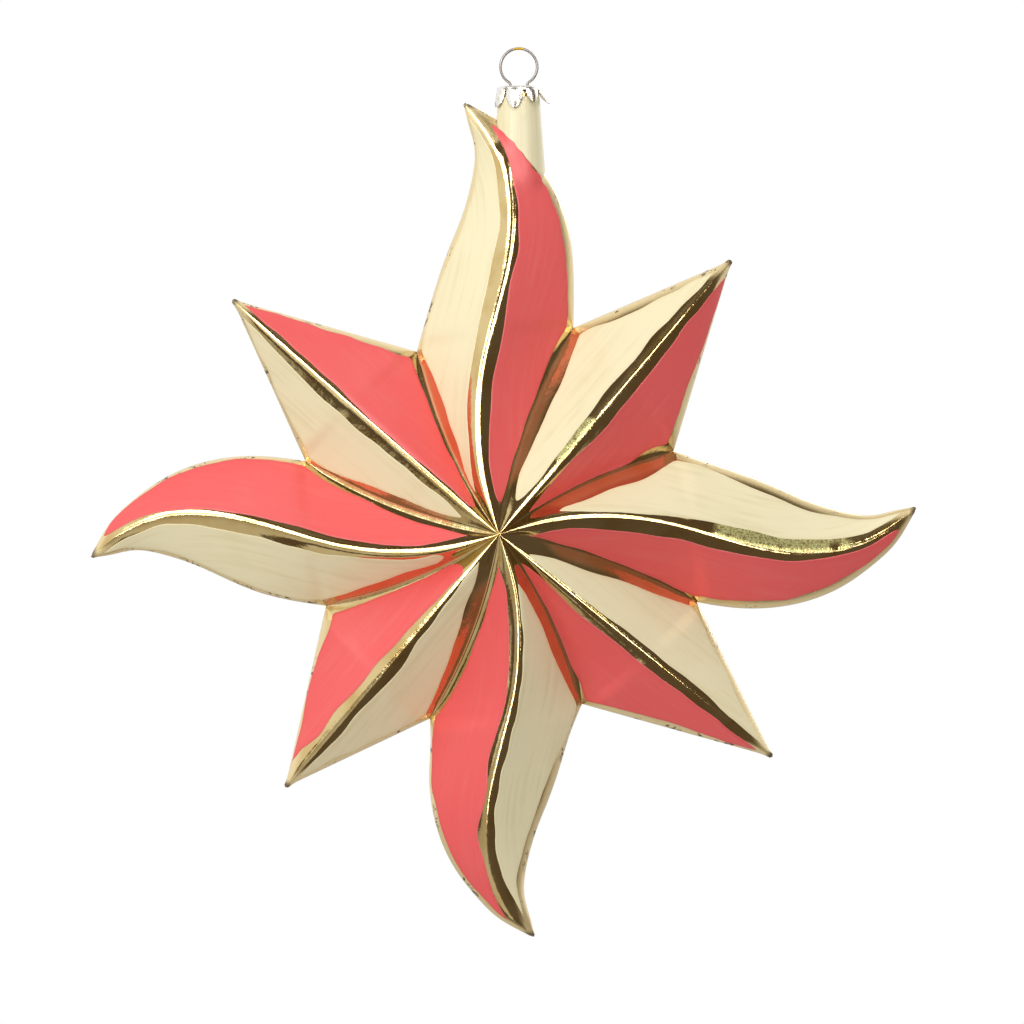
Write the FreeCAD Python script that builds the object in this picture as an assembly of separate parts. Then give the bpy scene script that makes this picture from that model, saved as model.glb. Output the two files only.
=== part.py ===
import FreeCAD, Part
import math
import os

V = FreeCAD.Vector

# Frame: X to the right, Z up, the painted front looks along -Y.
# The origin is the hang point, inside the top of the wire loop.

# Wire loop
WIRE_DIAMETER = 0.6
LOOP_INNER_RADIUS = 3.7
LEG_SPACING = 3.6
LEG_BEND_RADIUS = 0.9
LEG_SPLAY = 0.6
LEG_REACH = 12.0

# Cap
CAP_TOP_DROP = 8.0
CAP_SHEET = 0.22
CAP_COLLAR_HEIGHT = 2.0
CAP_PETAL_HEIGHT = 2.9
CAP_PETAL_FLARE = 0.75
CAP_FIT = 0.25
CAP_HOLE_FIT = 0.16
PETAL_COUNT = 7
PETAL_GAP_SHARE = 0.55
FRONT_PETAL_TURN = -12.3

# Neck
NECK_TOP_RADIUS = 4.3
NECK_BASE_RADIUS = 5.75
NECK_LENGTH = 19.4
NECK_ROOT_RADIUS = 2.5
NECK_ROOT_LENGTH = 14.0
NECK_RIM_FIT = 0.3

# Star
CENTRE_DROP = 105.6
CENTRE_SIDE = -4.3
WAVY_RAY_LENGTH = 90.0
STRAIGHT_RAY_LENGTH = 77.0
NOTCH_RADIUS = 43.0
PEAK_DEPTH = 24.0
GLASS_WALL = 0.9
TIP_WALL = 4.2

# How the ridge falls from the centre to the tip, as a power of what is left of the ray
RIDGE_FALL = 0.8
# How far each valley bows counter-clockwise from its straight line, as a share of its length
VALLEY_BOW_SHARE = 0.05
# The cavity's insets as shares of the wall, which allow for the slope of the facets
RIDGE_DROP_SHARE = 1.3
RIM_INSET_SHARE = 1.55
NOTCH_INSET_SHARE = 2.0

# Lacquer
LACQUER_THICKNESS = 0.2
LACQUER_LIFT = 0.05
NECK_LACQUER_THICKNESS = 0.1
CORAL_RIDGE_BAND = 1.4
CORAL_VALLEY_STRIP = 0.9
CORAL_RIM = 1.0
CREAM_RIDGE_BAND = 2.0
CREAM_VALLEY_STRIP = 2.1
CREAM_RIM = 1.2
# The share of the ray over which the strip at the valley narrows or widens to the rim
RIM_EASE_SHARE = 0.12

# One overrun serves all cutting tools
OVERRUN = 2.0

# Rays counter-clockwise from the one beside the neck. Each has its bearing in degrees, its
# length as a share of its kind's, the widths of its left and right slopes as shares of the
# wavy ray's own, and the notch on its counter-clockwise side: the notch's radius share and
# its bearing.
RAY_LAYOUT_SHARES = (
    ("n", True, 94.6, 1.048, 0.92, 0.965, 1.015, 114.3),
    ("nw", False, 138.7, 1.006, 1.0, 1.0, 1.050, 159.4),
    ("w", True, 183.2, 0.991, 1.0, 0.99, 0.951, 202.5),
    ("sw", False, 229.8, 0.939, 1.0, 1.0, 1.000, 249.4),
    ("s", True, 274.9, 0.980, 0.93, 0.99, 0.959, 296.0),
    ("se", False, 320.8, 0.999, 1.0, 1.0, 1.061, 341.0),
    ("e", True, 363.6, 1.013, 0.98, 0.94, 0.979, 385.4),
    ("ne", False, 409.7, 1.018, 1.0, 1.0, 1.111, 430.2),
)

# A wavy ray in the frame of the line from the centre to its tip, as shares of the ray's
# length: the place along the line, and the ridge's place to the left of it.
WAVY_RIDGE_SHARES = (
    (0.00, 0.000), (0.10, 0.024), (0.20, 0.031), (0.30, 0.024), (0.40, 0.003),
    (0.50, -0.0305), (0.58, -0.0585), (0.66, -0.0805), (0.74, -0.0915),
    (0.82, -0.088), (0.90, -0.0635), (0.96, -0.031), (1.00, 0.000),
)
# The wavy ray's outline past the notches: the place along, the left edge, the right edge
WAVY_EDGE_SHARES = (
    (0.50, 0.148, -0.215), (0.58, 0.115, -0.225), (0.66, 0.079, -0.2245),
    (0.74, 0.037, -0.210), (0.82, 0.005, -0.178), (0.90, -0.010, -0.125),
    (0.96, -0.001, -0.066),
)
# A straight ray's edges need only these places between the notch and the tip
STRAIGHT_EDGE_SHARES = (0.70, 0.85)
# The edge's first place lies at least this share of the ray past the notch
NOTCH_CLEAR_SHARE = 0.06
VALLEY_SHARES = (0.0, 0.2, 0.4, 0.6, 0.8, 1.0)
FILM_INNER_STEPS = 8
FILM_OUTER_STEPS = 12

LEFT = 1
RIGHT = -1
BISECTIONS = 40


def turned(bearing):
    """Unit vector in the X-Z plane at a bearing in degrees from +X."""
    angle = math.radians(bearing)
    return V(math.cos(angle), 0, math.sin(angle))


def spline(points, places):
    """Smooth curve through points, each met at its own parameter."""
    curve = Part.BSplineCurve()
    curve.interpolate(Points=points, Parameters=places)
    return curve


def skin(edge_a, edge_b):
    """Ruled face between two edges that run the same way."""
    return Part.makeRuledSurface(edge_a, edge_b)


def closed_solid(faces):
    """Solid from faces that meet edge to edge."""
    shell = Part.Shell(faces)
    shell.sewShape()
    solid = Part.Solid(shell)
    if solid.Volume < 0:
        solid.reverse()
    return solid


def mirrored(shape):
    """The same shape on the other side of the mould seam."""
    return shape.mirror(V(0, 0, 0), V(0, 1, 0))


class Ray:
    """One ray of the star: its ridge, and the valley and edge on each side of it.

    A wall of zero gives the outside of the glass. A larger wall gives the cavity.
    """

    def __init__(self, layout, right_layout, wall):
        self.name, self.wavy, self.bearing, length_share = layout[:4]
        self.width_shares = {LEFT: layout[4], RIGHT: layout[5]}
        kind_length = WAVY_RAY_LENGTH if self.wavy else STRAIGHT_RAY_LENGTH
        self.length = length_share * kind_length
        self.wall = wall
        self.reach_share = 1.0 - TIP_WALL / self.length if wall else 1.0
        self.peak = PEAK_DEPTH - RIDGE_DROP_SHARE * wall
        self.centre = V(CENTRE_SIDE, 0, -CENTRE_DROP)
        self.notches = {
            LEFT: layout[6:],
            RIGHT: (right_layout[6], right_layout[7] - (360.0 if self.name == "n" else 0.0)),
        }
        self.split = sum(self.notch_along(side) for side in (LEFT, RIGHT)) / 2
        self.ridge = self.ridge_curve()
        self.valleys = {side: self.valley_curve(side) for side in (LEFT, RIGHT)}
        self.edges = {side: self.edge_curve(side) for side in (LEFT, RIGHT)}

    def place(self, along_share, aside_share):
        """Point of the mid-plane at shares of the ray along and left of its centre line."""
        along = turned(self.bearing)
        aside = V(-along.z, 0, along.x)
        return self.centre + (along * along_share + aside * aside_share) * self.length

    def notch_point(self, side):
        """The notch beside the ray, drawn towards the centre by the cavity's inset."""
        share, bearing = self.notches[side]
        radius = share * NOTCH_RADIUS - NOTCH_INSET_SHARE * self.wall
        return self.centre + turned(bearing) * radius

    def notch_along(self, side):
        """How far along the ray its notch lies, as a share of the ray's own reach."""
        span = self.notch_point(side) - self.centre
        return span.dot(turned(self.bearing)) / (self.length * self.reach_share)

    def ridge_curve(self):
        """The ridge: its plan follows the table and its height falls to the tip."""
        points = []
        for place, aside in WAVY_RIDGE_SHARES:
            plan = self.place(place * self.reach_share, self.ridge_aside(place * self.reach_share))
            height = self.peak * (1.0 - place) ** RIDGE_FALL
            points.append(plan + V(0, -height, 0))
        return spline(points, [place for place, aside in WAVY_RIDGE_SHARES])

    def ridge_aside(self, along_share):
        """The ridge's place left of the centre line, which is nothing on a straight ray."""
        return between(WAVY_RIDGE_SHARES, along_share, 1) if self.wavy else 0.0

    def valley_curve(self, side):
        """The valley from the centre to the notch, bowed counter-clockwise."""
        span = self.notch_point(side) - self.centre
        aside = V(-span.z, 0, span.x)
        points = []
        for place in VALLEY_SHARES:
            plan = self.centre + span * place + aside * (VALLEY_BOW_SHARE * 4 * place * (1 - place))
            points.append(plan + V(0, -self.peak * (1 - place), 0))
        return spline(points, list(VALLEY_SHARES))

    def edge_curve(self, side):
        """The outline from the notch to the tip, in the mid-plane."""
        notch = self.notch_point(side)
        tip = self.ridge.value(1.0)
        points = [notch]
        places = [self.split]
        if self.wavy:
            for row in WAVY_EDGE_SHARES:
                place = row[0]
                if place < self.split + NOTCH_CLEAR_SHARE:
                    continue
                along = place * self.reach_share
                edge = between(WAVY_EDGE_SHARES, along, 1 if side == LEFT else 2, self.notch_row(side))
                ridge = self.ridge_aside(along)
                width = (edge - ridge) * self.width_shares[side]
                inset = RIM_INSET_SHARE * self.wall / self.length
                points.append(self.place(along, ridge + width - side * inset))
                places.append(place)
        else:
            for place in STRAIGHT_EDGE_SHARES:
                share = (place - self.split) / (1 - self.split)
                points.append(notch + (tip - notch) * share)
                places.append(place)
        points.append(tip)
        places.append(1.0)
        return spline(points, places)

    def notch_row(self, side):
        """The outer notch in the table's own form, for places between it and the table."""
        share, bearing = self.notches[side]
        radius_share = share * NOTCH_RADIUS / self.length
        turn = math.radians(bearing - self.bearing)
        aside = radius_share * math.sin(turn)
        return (radius_share * math.cos(turn), aside, aside)

    def boundary(self, side, place):
        """Point of the valley or edge that is paired with a place on the ridge."""
        if place <= self.split:
            return self.valleys[side].value(place / self.split)
        return self.edges[side].value(place)

    def facet_faces(self, side):
        """The front slope on one side of the ridge, in two ruled faces."""
        inner = skin(self.ridge.toShape(0.0, self.split), self.valleys[side].toShape())
        outer = skin(self.ridge.toShape(self.split, 1.0), self.edges[side].toShape())
        return [inner, outer]


def between(rows, place, column, first_row=None):
    """Value of a column of a share table at a place, in straight steps between rows."""
    table = list(rows)
    if first_row:
        table = [first_row] + table
    table.append((1.0, 0.0, 0.0))
    for low, high in zip(table, table[1:]):
        if low[0] <= place <= high[0] and high[0] > low[0]:
            share = (place - low[0]) / (high[0] - low[0])
            return low[column] + share * (high[column] - low[column])
    return table[0][column]


def make_rays(wall):
    """The eight rays, each knowing the notch of its clockwise neighbour."""
    rays = []
    for index, layout in enumerate(RAY_LAYOUT_SHARES):
        rays.append(Ray(layout, RAY_LAYOUT_SHARES[index - 1], wall))
    return rays


def star_solid(rays):
    """The star's closed form, front and mirrored back."""
    front = []
    for ray in rays:
        for side in (LEFT, RIGHT):
            front.extend(ray.facet_faces(side))
    return closed_solid(front + [mirrored(face) for face in front])


def neck_rim_height():
    """The neck's rim stands just under the cap's top plate."""
    return -CAP_TOP_DROP - CAP_SHEET - NECK_RIM_FIT


def neck_form(inset):
    """Solid of the neck and of its root inside the ray, drawn in by an inset."""
    rim = neck_rim_height()
    down = V(0, 0, -1)
    neck = Part.makeCone(
        NECK_TOP_RADIUS - inset, NECK_BASE_RADIUS - inset, NECK_LENGTH, V(0, 0, rim), down)
    root = Part.makeCone(
        NECK_BASE_RADIUS - inset, NECK_ROOT_RADIUS - inset, NECK_ROOT_LENGTH,
        V(0, 0, rim - NECK_LENGTH), down)
    return neck.fuse(root)


def neck_mouth():
    """Cutter that leaves the top of the neck open."""
    rim = neck_rim_height()
    return Part.makeCylinder(NECK_TOP_RADIUS - GLASS_WALL, OVERRUN, V(0, 0, rim))


def make_glass(outer_star, cavity_star):
    """The blown glass: star and neck in one hollow wall, open at the neck's rim."""
    outside = outer_star.fuse(neck_form(0))
    inside = cavity_star.fuse(neck_form(GLASS_WALL))
    return outside.cut(inside).cut(neck_mouth())


def edge_margin(ray, place, strip, rim):
    """Bare glass left beside the valley, which eases to the rim's along the outline."""
    if place <= ray.split:
        return strip
    eased = max(0.0, 1.0 - (place - ray.split) / RIM_EASE_SHARE)
    return rim + (strip - rim) * eased


def spare_width(ray, side, place, band, strip, rim):
    """Width of the slope that is left for lacquer at a place along the ray."""
    span = ray.boundary(side, place) - ray.ridge.value(place)
    width = math.hypot(span.x, span.z)
    return width - band - edge_margin(ray, place, strip, rim)


def field_end(ray, side, bare, painted, sizes):
    """Where the lacquer runs out to a point between a bare and a painted place."""
    for _ in range(BISECTIONS):
        middle = (bare + painted) / 2
        if spare_width(ray, side, middle, *sizes) > 0:
            painted = middle
        else:
            bare = middle
    return painted


def field_curves(ray, side, places, sizes, lift):
    """The ridge side and the valley side of a field, raised off the glass."""
    band, strip, rim = sizes
    low = []
    high = []
    for place in places:
        ridge = ray.ridge.value(place)
        span = ray.boundary(side, place) - ridge
        width = math.hypot(span.x, span.z)
        margin = edge_margin(ray, place, strip, rim)
        low_share = band / width
        high_share = max(low_share, 1.0 - margin / width)
        low.append(ridge + span * low_share + V(0, -lift, 0))
        high.append(ridge + span * high_share + V(0, -lift, 0))
    return low, high


def steps(first, last, count):
    """Evenly spaced places from first to last."""
    return [first + (last - first) * index / count for index in range(count + 1)]


def make_field(ray, side, sizes):
    """One field of lacquer on the front: a thin film that follows its slope."""
    middle_place = (ray.split + 1.0) / 2
    start = field_end(ray, side, 0.0, ray.split, sizes)
    stop = field_end(ray, side, 1.0, middle_place, sizes)
    bottom = LACQUER_LIFT
    top = LACQUER_LIFT + LACQUER_THICKNESS
    faces = []
    for places in (steps(start, ray.split, FILM_INNER_STEPS), steps(ray.split, stop, FILM_OUTER_STEPS)):
        edges = {}
        for lift in (bottom, top):
            low, high = field_curves(ray, side, places, sizes, lift)
            if places[0] == start:
                high[0] = low[0]
            if places[-1] == stop:
                high[-1] = low[-1]
            edges[lift] = (spline(low, places).toShape(), spline(high, places).toShape())
        faces.append(skin(*edges[bottom]))
        faces.append(skin(*edges[top]))
        faces.append(skin(edges[bottom][0], edges[top][0]))
        faces.append(skin(edges[bottom][1], edges[top][1]))
    return closed_solid(faces)


def make_neck_skin(outer_star):
    """Lacquer all round the neck where it stands out of the star, below the cap's collar."""
    lift = LACQUER_LIFT + NECK_LACQUER_THICKNESS
    film = neck_form(-lift).cut(neck_form(-LACQUER_LIFT))
    top = neck_rim_height() - CAP_COLLAR_HEIGHT
    size = NECK_BASE_RADIUS + OVERRUN
    above = Part.makeCylinder(size, CAP_COLLAR_HEIGHT + OVERRUN, V(0, 0, top))
    return film.cut(above).cut(outer_star)


def field_prism(ray, side, sizes):
    """Cutter with the plan of a field, from the mould seam forward past the peak."""
    middle_place = (ray.split + 1.0) / 2
    stop = field_end(ray, side, 1.0, middle_place, sizes)
    places = steps(ray.split, stop, FILM_OUTER_STEPS)
    low, high = field_curves(ray, side, places, sizes, 0.0)
    high[-1] = low[-1]
    edges = []
    for points in (low, high):
        edges.append(spline([V(point.x, 0, point.z) for point in points], places).toShape())
    return skin(*edges).extrude(V(0, -PEAK_DEPTH, 0))


def make_cap():
    """The crimped cap: a plate, a collar and flared petals from one thin sheet."""
    inner = NECK_TOP_RADIUS + CAP_FIT
    outer = inner + CAP_SHEET
    top = -CAP_TOP_DROP
    collar_end = top - CAP_COLLAR_HEIGHT
    petal_end = collar_end - CAP_PETAL_HEIGHT
    profile = [
        V(0, 0, top), V(outer, 0, top), V(outer, 0, collar_end),
        V(outer + CAP_PETAL_FLARE, 0, petal_end), V(inner + CAP_PETAL_FLARE, 0, petal_end),
        V(inner, 0, collar_end), V(inner, 0, top - CAP_SHEET), V(0, 0, top - CAP_SHEET),
    ]
    face = Part.Face(Part.makePolygon(profile + [profile[0]]))
    cap = face.revolve(V(0, 0, 0), V(0, 0, 1), 360)
    gap_width = PETAL_GAP_SHARE * math.pi * (outer + CAP_PETAL_FLARE) / PETAL_COUNT
    for index in range(PETAL_COUNT):
        cap = cap.cut(petal_gap(gap_width, collar_end, petal_end, outer, index))
    hole_radius = WIRE_DIAMETER / 2 + CAP_HOLE_FIT
    for side in (LEFT, RIGHT):
        base = V(side * LEG_SPACING / 2, 0, top - CAP_SHEET - OVERRUN / 2)
        cap = cap.cut(Part.makeCylinder(hole_radius, CAP_SHEET + OVERRUN, base))
    return cap


def petal_gap(width, collar_end, petal_end, outer, index):
    """Wedge cutter between two petals, pointed at the collar."""
    foot = petal_end - OVERRUN
    spread = width * (collar_end - foot) / (collar_end - petal_end)
    corners = [V(0, 0, collar_end), V(spread, 0, foot), V(-spread, 0, foot)]
    wedge = Part.Face(Part.makePolygon(corners + [corners[0]]))
    cutter = wedge.extrude(V(0, -outer - CAP_PETAL_FLARE - OVERRUN, 0))
    turn = FRONT_PETAL_TURN + (index + 0.5) * 360.0 / PETAL_COUNT
    cutter.rotate(V(0, 0, 0), V(0, 0, 1), turn)
    return cutter


def wire_path():
    """The wire's middle line: left leg, round the loop, right leg."""
    ring_radius = LOOP_INNER_RADIUS + WIRE_DIAMETER / 2
    ring_height = -LOOP_INNER_RADIUS
    leg_x = LEG_SPACING / 2
    bend_x = leg_x + LEG_BEND_RADIUS
    reach = ring_radius + LEG_BEND_RADIUS
    bend_z = ring_height - math.sqrt(reach ** 2 - bend_x ** 2)
    pull = ring_radius / reach
    join = V(bend_x * pull, 0, ring_height + (bend_z - ring_height) * pull)
    bend_centre = V(bend_x, 0, bend_z)
    leg_end = V(leg_x + LEG_SPLAY, 0, bend_z - LEG_REACH)
    leg_top = touch_point(leg_end, bend_centre, LEG_BEND_RADIUS)
    bend_middle = (join - bend_centre) + (leg_top - bend_centre)
    bend_middle = bend_centre + bend_middle.normalize() * LEG_BEND_RADIUS
    left = [V(-p.x, p.y, p.z) for p in (leg_end, leg_top, bend_middle, join)]
    ring_top = V(0, 0, ring_height + ring_radius)
    return Part.Wire([
        Part.LineSegment(left[0], left[1]).toShape(),
        Part.Arc(left[1], left[2], left[3]).toShape(),
        Part.Arc(left[3], ring_top, join).toShape(),
        Part.Arc(join, bend_middle, leg_top).toShape(),
        Part.LineSegment(leg_top, leg_end).toShape(),
    ])


def touch_point(outside, centre, radius):
    """Where a line from a point below touches a circle on its side towards the axis."""
    span = outside - centre
    heading = math.atan2(span.z, span.x)
    spread = math.acos(radius / span.Length)
    angle = heading - spread
    return centre + V(math.cos(angle), 0, math.sin(angle)) * radius


def make_wire():
    """The sprung wire: one loop with two legs that reach down into the neck."""
    path = wire_path()
    start = path.OrderedVertexes[0].Point
    heading = path.OrderedEdges[0].tangentAt(path.OrderedEdges[0].FirstParameter)
    circle = Part.Wire(Part.Circle(start, heading, WIRE_DIAMETER / 2).toShape())
    return path.makePipeShell([circle], True, False, 1)


def save(name, shape):
    """Write one piece to its own file."""
    shape.exportStep("parts/" + name + ".step")
    print(name, len(shape.Solids), shape.isValid(), round(shape.Volume, 3))


def main():
    """Make every piece."""
    os.makedirs("parts", exist_ok=True)
    rays = make_rays(0)
    outer_star = star_solid(rays)
    cavity_star = star_solid(make_rays(GLASS_WALL))
    save("glass_body", make_glass(outer_star, cavity_star))
    save("crown_cap", make_cap())
    save("hanger_wire", make_wire())
    coral = (CORAL_RIDGE_BAND, CORAL_VALLEY_STRIP, CORAL_RIM)
    cream = (CREAM_RIDGE_BAND, CREAM_VALLEY_STRIP, CREAM_RIM)
    neck_skin = make_neck_skin(outer_star)
    draped = field_prism(rays[0], RIGHT, coral)
    sleeve = neck_skin.cut(draped).cut(mirrored(draped))
    save("neck_lacquer", max(sleeve.Solids, key=lambda solid: solid.Volume))
    for ray in rays:
        for colour, side, sizes in (("coral", RIGHT, coral), ("cream", LEFT, cream)):
            field = make_field(ray, side, sizes)
            if ray is rays[0] and side == RIGHT:
                field = field.cut(neck_form(-LACQUER_LIFT)).fuse(neck_skin.common(draped))
            save(colour + "_front_" + ray.name, field)
            save(colour + "_back_" + ray.name, mirrored(field))


main()
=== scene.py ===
"""Looks of a hanging glass star: gold mirrored glass, coral and cream lacquer, cap and wire.

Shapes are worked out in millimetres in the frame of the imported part, X to the right, Z up and
the painted front towards -Y, and are written to meshes in metres.
"""

import logging
import math
from abc import ABC, abstractmethod
from dataclasses import dataclass, field
from enum import Enum
from typing import Callable, Iterable, Sequence

import bmesh
import bpy
import numpy as np
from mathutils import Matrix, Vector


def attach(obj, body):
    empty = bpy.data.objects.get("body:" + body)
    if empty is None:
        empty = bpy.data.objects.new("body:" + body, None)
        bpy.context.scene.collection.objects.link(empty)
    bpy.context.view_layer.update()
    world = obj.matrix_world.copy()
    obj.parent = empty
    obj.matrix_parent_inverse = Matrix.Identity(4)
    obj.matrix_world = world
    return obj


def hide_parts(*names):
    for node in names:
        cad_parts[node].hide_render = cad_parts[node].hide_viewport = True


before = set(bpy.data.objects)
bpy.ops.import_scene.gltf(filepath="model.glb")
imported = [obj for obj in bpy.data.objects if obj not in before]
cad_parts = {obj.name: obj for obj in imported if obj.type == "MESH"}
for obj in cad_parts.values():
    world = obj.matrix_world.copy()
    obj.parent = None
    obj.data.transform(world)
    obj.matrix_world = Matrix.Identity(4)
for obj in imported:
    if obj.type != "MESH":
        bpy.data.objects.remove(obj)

LOG = logging.getLogger("star")
Array = np.ndarray
Colour = tuple[float, float, float, float]
Link = "bpy.types.NodeSocket | Flow | float | Colour | tuple[float, float, float]"

MM = 0.001
CIRCLE = 2 * math.pi
TINY = 1e-6
LEAST_LENGTH = 1e-9
# Curve of a screen's colours: where it starts, the slope before, its shift and its power
CURVE_START, CURVE_SLOPE, CURVE_SHIFT, CURVE_POWER = 0.04045, 12.92, 0.055, 2.4
# Points nearer than this, in metres, become one
MERGE_DISTANCE = 2e-8
# Distance in mm that is written where no rim, valley or tip is near
FAR = 9.0
# Points at which an outline is read
OUTLINE_POINTS = 200
# Number of sines in a wobble, their shortest and longest length as shares of its scale, and
# what their sum is divided by
RIPPLE_SINES, RIPPLE_SHORT, RIPPLE_LONG, RIPPLE_EVEN = 5, 0.7, 1.6, 2.6
# The same of the soft bumps, whose sum is divided by their number
WAVE_SINES, WAVE_SHORT, WAVE_LONG = 7, 0.5, 1.5

# Share tables of the rays, the same as the part's own
WAVY_RIDGE_SHARES = (
    (0.00, 0.000), (0.10, 0.024), (0.20, 0.031), (0.30, 0.024), (0.40, 0.003),
    (0.50, -0.0305), (0.58, -0.0585), (0.66, -0.0805), (0.74, -0.0915),
    (0.82, -0.088), (0.90, -0.0635), (0.96, -0.031), (1.00, 0.000),
)
WAVY_EDGE_SHARES = (
    (0.50, 0.148, -0.215), (0.58, 0.115, -0.225), (0.66, 0.079, -0.2245),
    (0.74, 0.037, -0.210), (0.82, 0.005, -0.178), (0.90, -0.010, -0.125),
    (0.96, -0.001, -0.066),
)
# Places along a ray at which the borders of its lacquer are given
FIELD_PLACE_SHARES = (0.16, 0.24, 0.32, 0.40, 0.48, 0.56, 0.64, 0.72, 0.80, 0.88)


class Side(Enum):
    """Slope of a ray, seen from the centre towards the tip."""

    LEFT = 1
    RIGHT = -1


class Face(Enum):
    """Front or back of the star, as the sign of Y."""

    FRONT = -1
    BACK = 1


class Body(Enum):
    """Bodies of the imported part."""

    HANGER = "hanger"
    CAP = "cap"
    STAR = "star"


def linear(red: int, green: int, blue: int) -> Colour:
    """Turn a colour given as 0 to 255 into the numbers that shaders take.

    Args:
        red: Red, 0 to 255.
        green: Green, 0 to 255.
        blue: Blue, 0 to 255.

    Returns:
        The linear colour with full alpha.
    """
    parts = []
    for value in (red, green, blue):
        share = value / 255
        curved = ((share + CURVE_SHIFT) / (1 + CURVE_SHIFT)) ** CURVE_POWER
        parts.append(share / CURVE_SLOPE if share <= CURVE_START else curved)
    return (*parts, 1.0)


def smooth(share: Array) -> Array:
    """Ease a share from 0 to 1 with no slope at either end: 3 x squared less 2 x cubed."""
    inside = np.clip(share, 0.0, 1.0)
    return inside * inside * (3 - 2 * inside)


def ripple(places: Array, seed: int, scale: float) -> Array:
    """Even-tempered wobble along a line.

    The sum of a few sines with seeded lengths and seeded phases, divided so that it stays
    near 1.

    Args:
        places: Places along the line.
        seed: Picks the wobble.
        scale: Its usual length, in the unit of the places.

    Returns:
        The wobble at each place.
    """
    chooser = np.random.default_rng(seed)
    total = np.zeros_like(places, dtype=float)
    for _ in range(RIPPLE_SINES):
        length = scale * chooser.uniform(RIPPLE_SHORT, RIPPLE_LONG)
        total += np.sin(places * (CIRCLE / length) + chooser.uniform(0, CIRCLE))
    return total / RIPPLE_EVEN


def waves(x: Array, z: Array, seed: int, scale: float) -> Array:
    """Soft bumps over a plane: the mean of sine waves in seeded directions.

    Args:
        x: First coordinate.
        z: Second coordinate.
        seed: Picks the bumps.
        scale: Their usual length, in the unit of the coordinates.

    Returns:
        The height of the bumps, from -1 to 1.
    """
    chooser = np.random.default_rng(seed)
    total = np.zeros(np.broadcast(x, z).shape)
    for _ in range(WAVE_SINES):
        turn = chooser.uniform(0, CIRCLE)
        pace = CIRCLE / (scale * chooser.uniform(WAVE_SHORT, WAVE_LONG))
        across = x * math.cos(turn) + z * math.sin(turn)
        total = total + np.sin(across * pace + chooser.uniform(0, CIRCLE))
    return total / WAVE_SINES


def rounded(left: Array) -> Array:
    """Quarter circle down from 1 to 0: the root of one less the square of the share."""
    return np.sqrt(np.clip(1 - left**2, 0, 1))


def eased_steps(count: int, crowding: float = 1.0) -> Array:
    """Steps from 0 to 1 that crowd at both ends.

    Even steps are mixed with half of one less the cosine.

    Args:
        count: How many there are.
        crowding: Share of the second kind in the mixture.

    Returns:
        The steps.
    """
    eased = (1 - np.cos(np.linspace(0, math.pi, count))) / 2
    return (1 - crowding) * np.linspace(0, 1, count) + crowding * eased


def heading(degrees: float) -> Array:
    """Unit vector in the plan, turned from X towards Z."""
    turn = math.radians(degrees)
    return np.array([math.cos(turn), math.sin(turn)])


def turned(radius: Array, turn: Array, height: Array) -> Array:
    """Points round the upright axis, with turn 0 at the front."""
    radius, turn, height = np.broadcast_arrays(radius, turn, height)
    return np.stack([radius * np.sin(turn), -radius * np.cos(turn), height], axis=-1)


def smooth_max(first: Array, second: Array, reach: float) -> Array:
    """Larger of two heights, with a fillet where they are less than the reach apart.

    The larger one plus the square of what is left of the reach, over four reaches.
    """
    left = np.clip(reach - np.abs(first - second), 0.0, None)
    return np.maximum(first, second) + left * left / (4 * reach)


class SmoothCurve:
    """Cubic curve through given values, with no bend at its two ends."""

    def __init__(self, places: Sequence[float], values: Sequence) -> None:
        """Solve for the second derivatives that keep slope and bend unbroken.

        Args:
            places: Rising parameters of the values.
            values: One number or one row of numbers for each place.
        """
        self.places = np.asarray(places, float)
        self.values = np.asarray(values, float).reshape(len(self.places), -1)
        gaps = np.diff(self.places)
        count = len(self.places)
        system = np.eye(count)
        wanted = np.zeros(self.values.shape)
        inner = np.arange(1, count - 1)
        system[inner, inner - 1] = gaps[:-1]
        system[inner, inner] = 2 * (gaps[:-1] + gaps[1:])
        system[inner, inner + 1] = gaps[1:]
        slopes = np.diff(self.values, axis=0) / gaps[:, None]
        wanted[inner] = 6 * np.diff(slopes, axis=0)
        self.bends = np.linalg.solve(system, wanted)

    def at(self, places: Array) -> Array:
        """Values of the curve at some places, held between its two ends.

        Args:
            places: One-dimensional parameters.

        Returns:
            One row for each place.
        """
        held = np.clip(places, self.places[0], self.places[-1])
        index = np.clip(np.searchsorted(self.places, held) - 1, 0, len(self.places) - 2)
        gap = (self.places[index + 1] - self.places[index])[:, None]
        right = (held - self.places[index])[:, None] / gap
        left = 1 - right
        straight = left * self.values[index] + right * self.values[index + 1]
        bend = (left**3 - left) * self.bends[index] + (right**3 - right) * self.bends[index + 1]
        return straight + bend * gap * gap / 6


def eased_share(across: Array, first_zone: Array, last_zone: Array) -> Array:
    """Share of a slope's fall, with a rounded start and a rounded end.

    The slope grows evenly from nothing over the first zone, stays, and shrinks evenly to
    nothing over the last zone. The share is its sum up to a place over its whole sum.

    Args:
        across: Place from 0 at the ridge to 1 at the valley or rim.
        first_zone: Width of the rounding at the ridge, as a share.
        last_zone: Width of the rounding at the valley, as a share.

    Returns:
        The share of the fall, from 0 to 1.
    """
    first = np.maximum(first_zone, TINY)
    last = np.maximum(last_zone, TINY)
    begun = np.minimum(across, first)
    past = np.clip(across - (1 - last), 0.0, None)
    done = across - begun + begun * begun / (2 * first) - past * past / (2 * last)
    return done / (1 - first / 2 - last / 2)


@dataclass(frozen=True)
class RayLayout:
    """Place of one ray and of the notch on its counter-clockwise side."""

    name: str
    wavy: bool
    bearing: float
    length_share: float
    left_width_share: float
    right_width_share: float
    notch_radius_share: float
    notch_bearing: float


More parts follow.
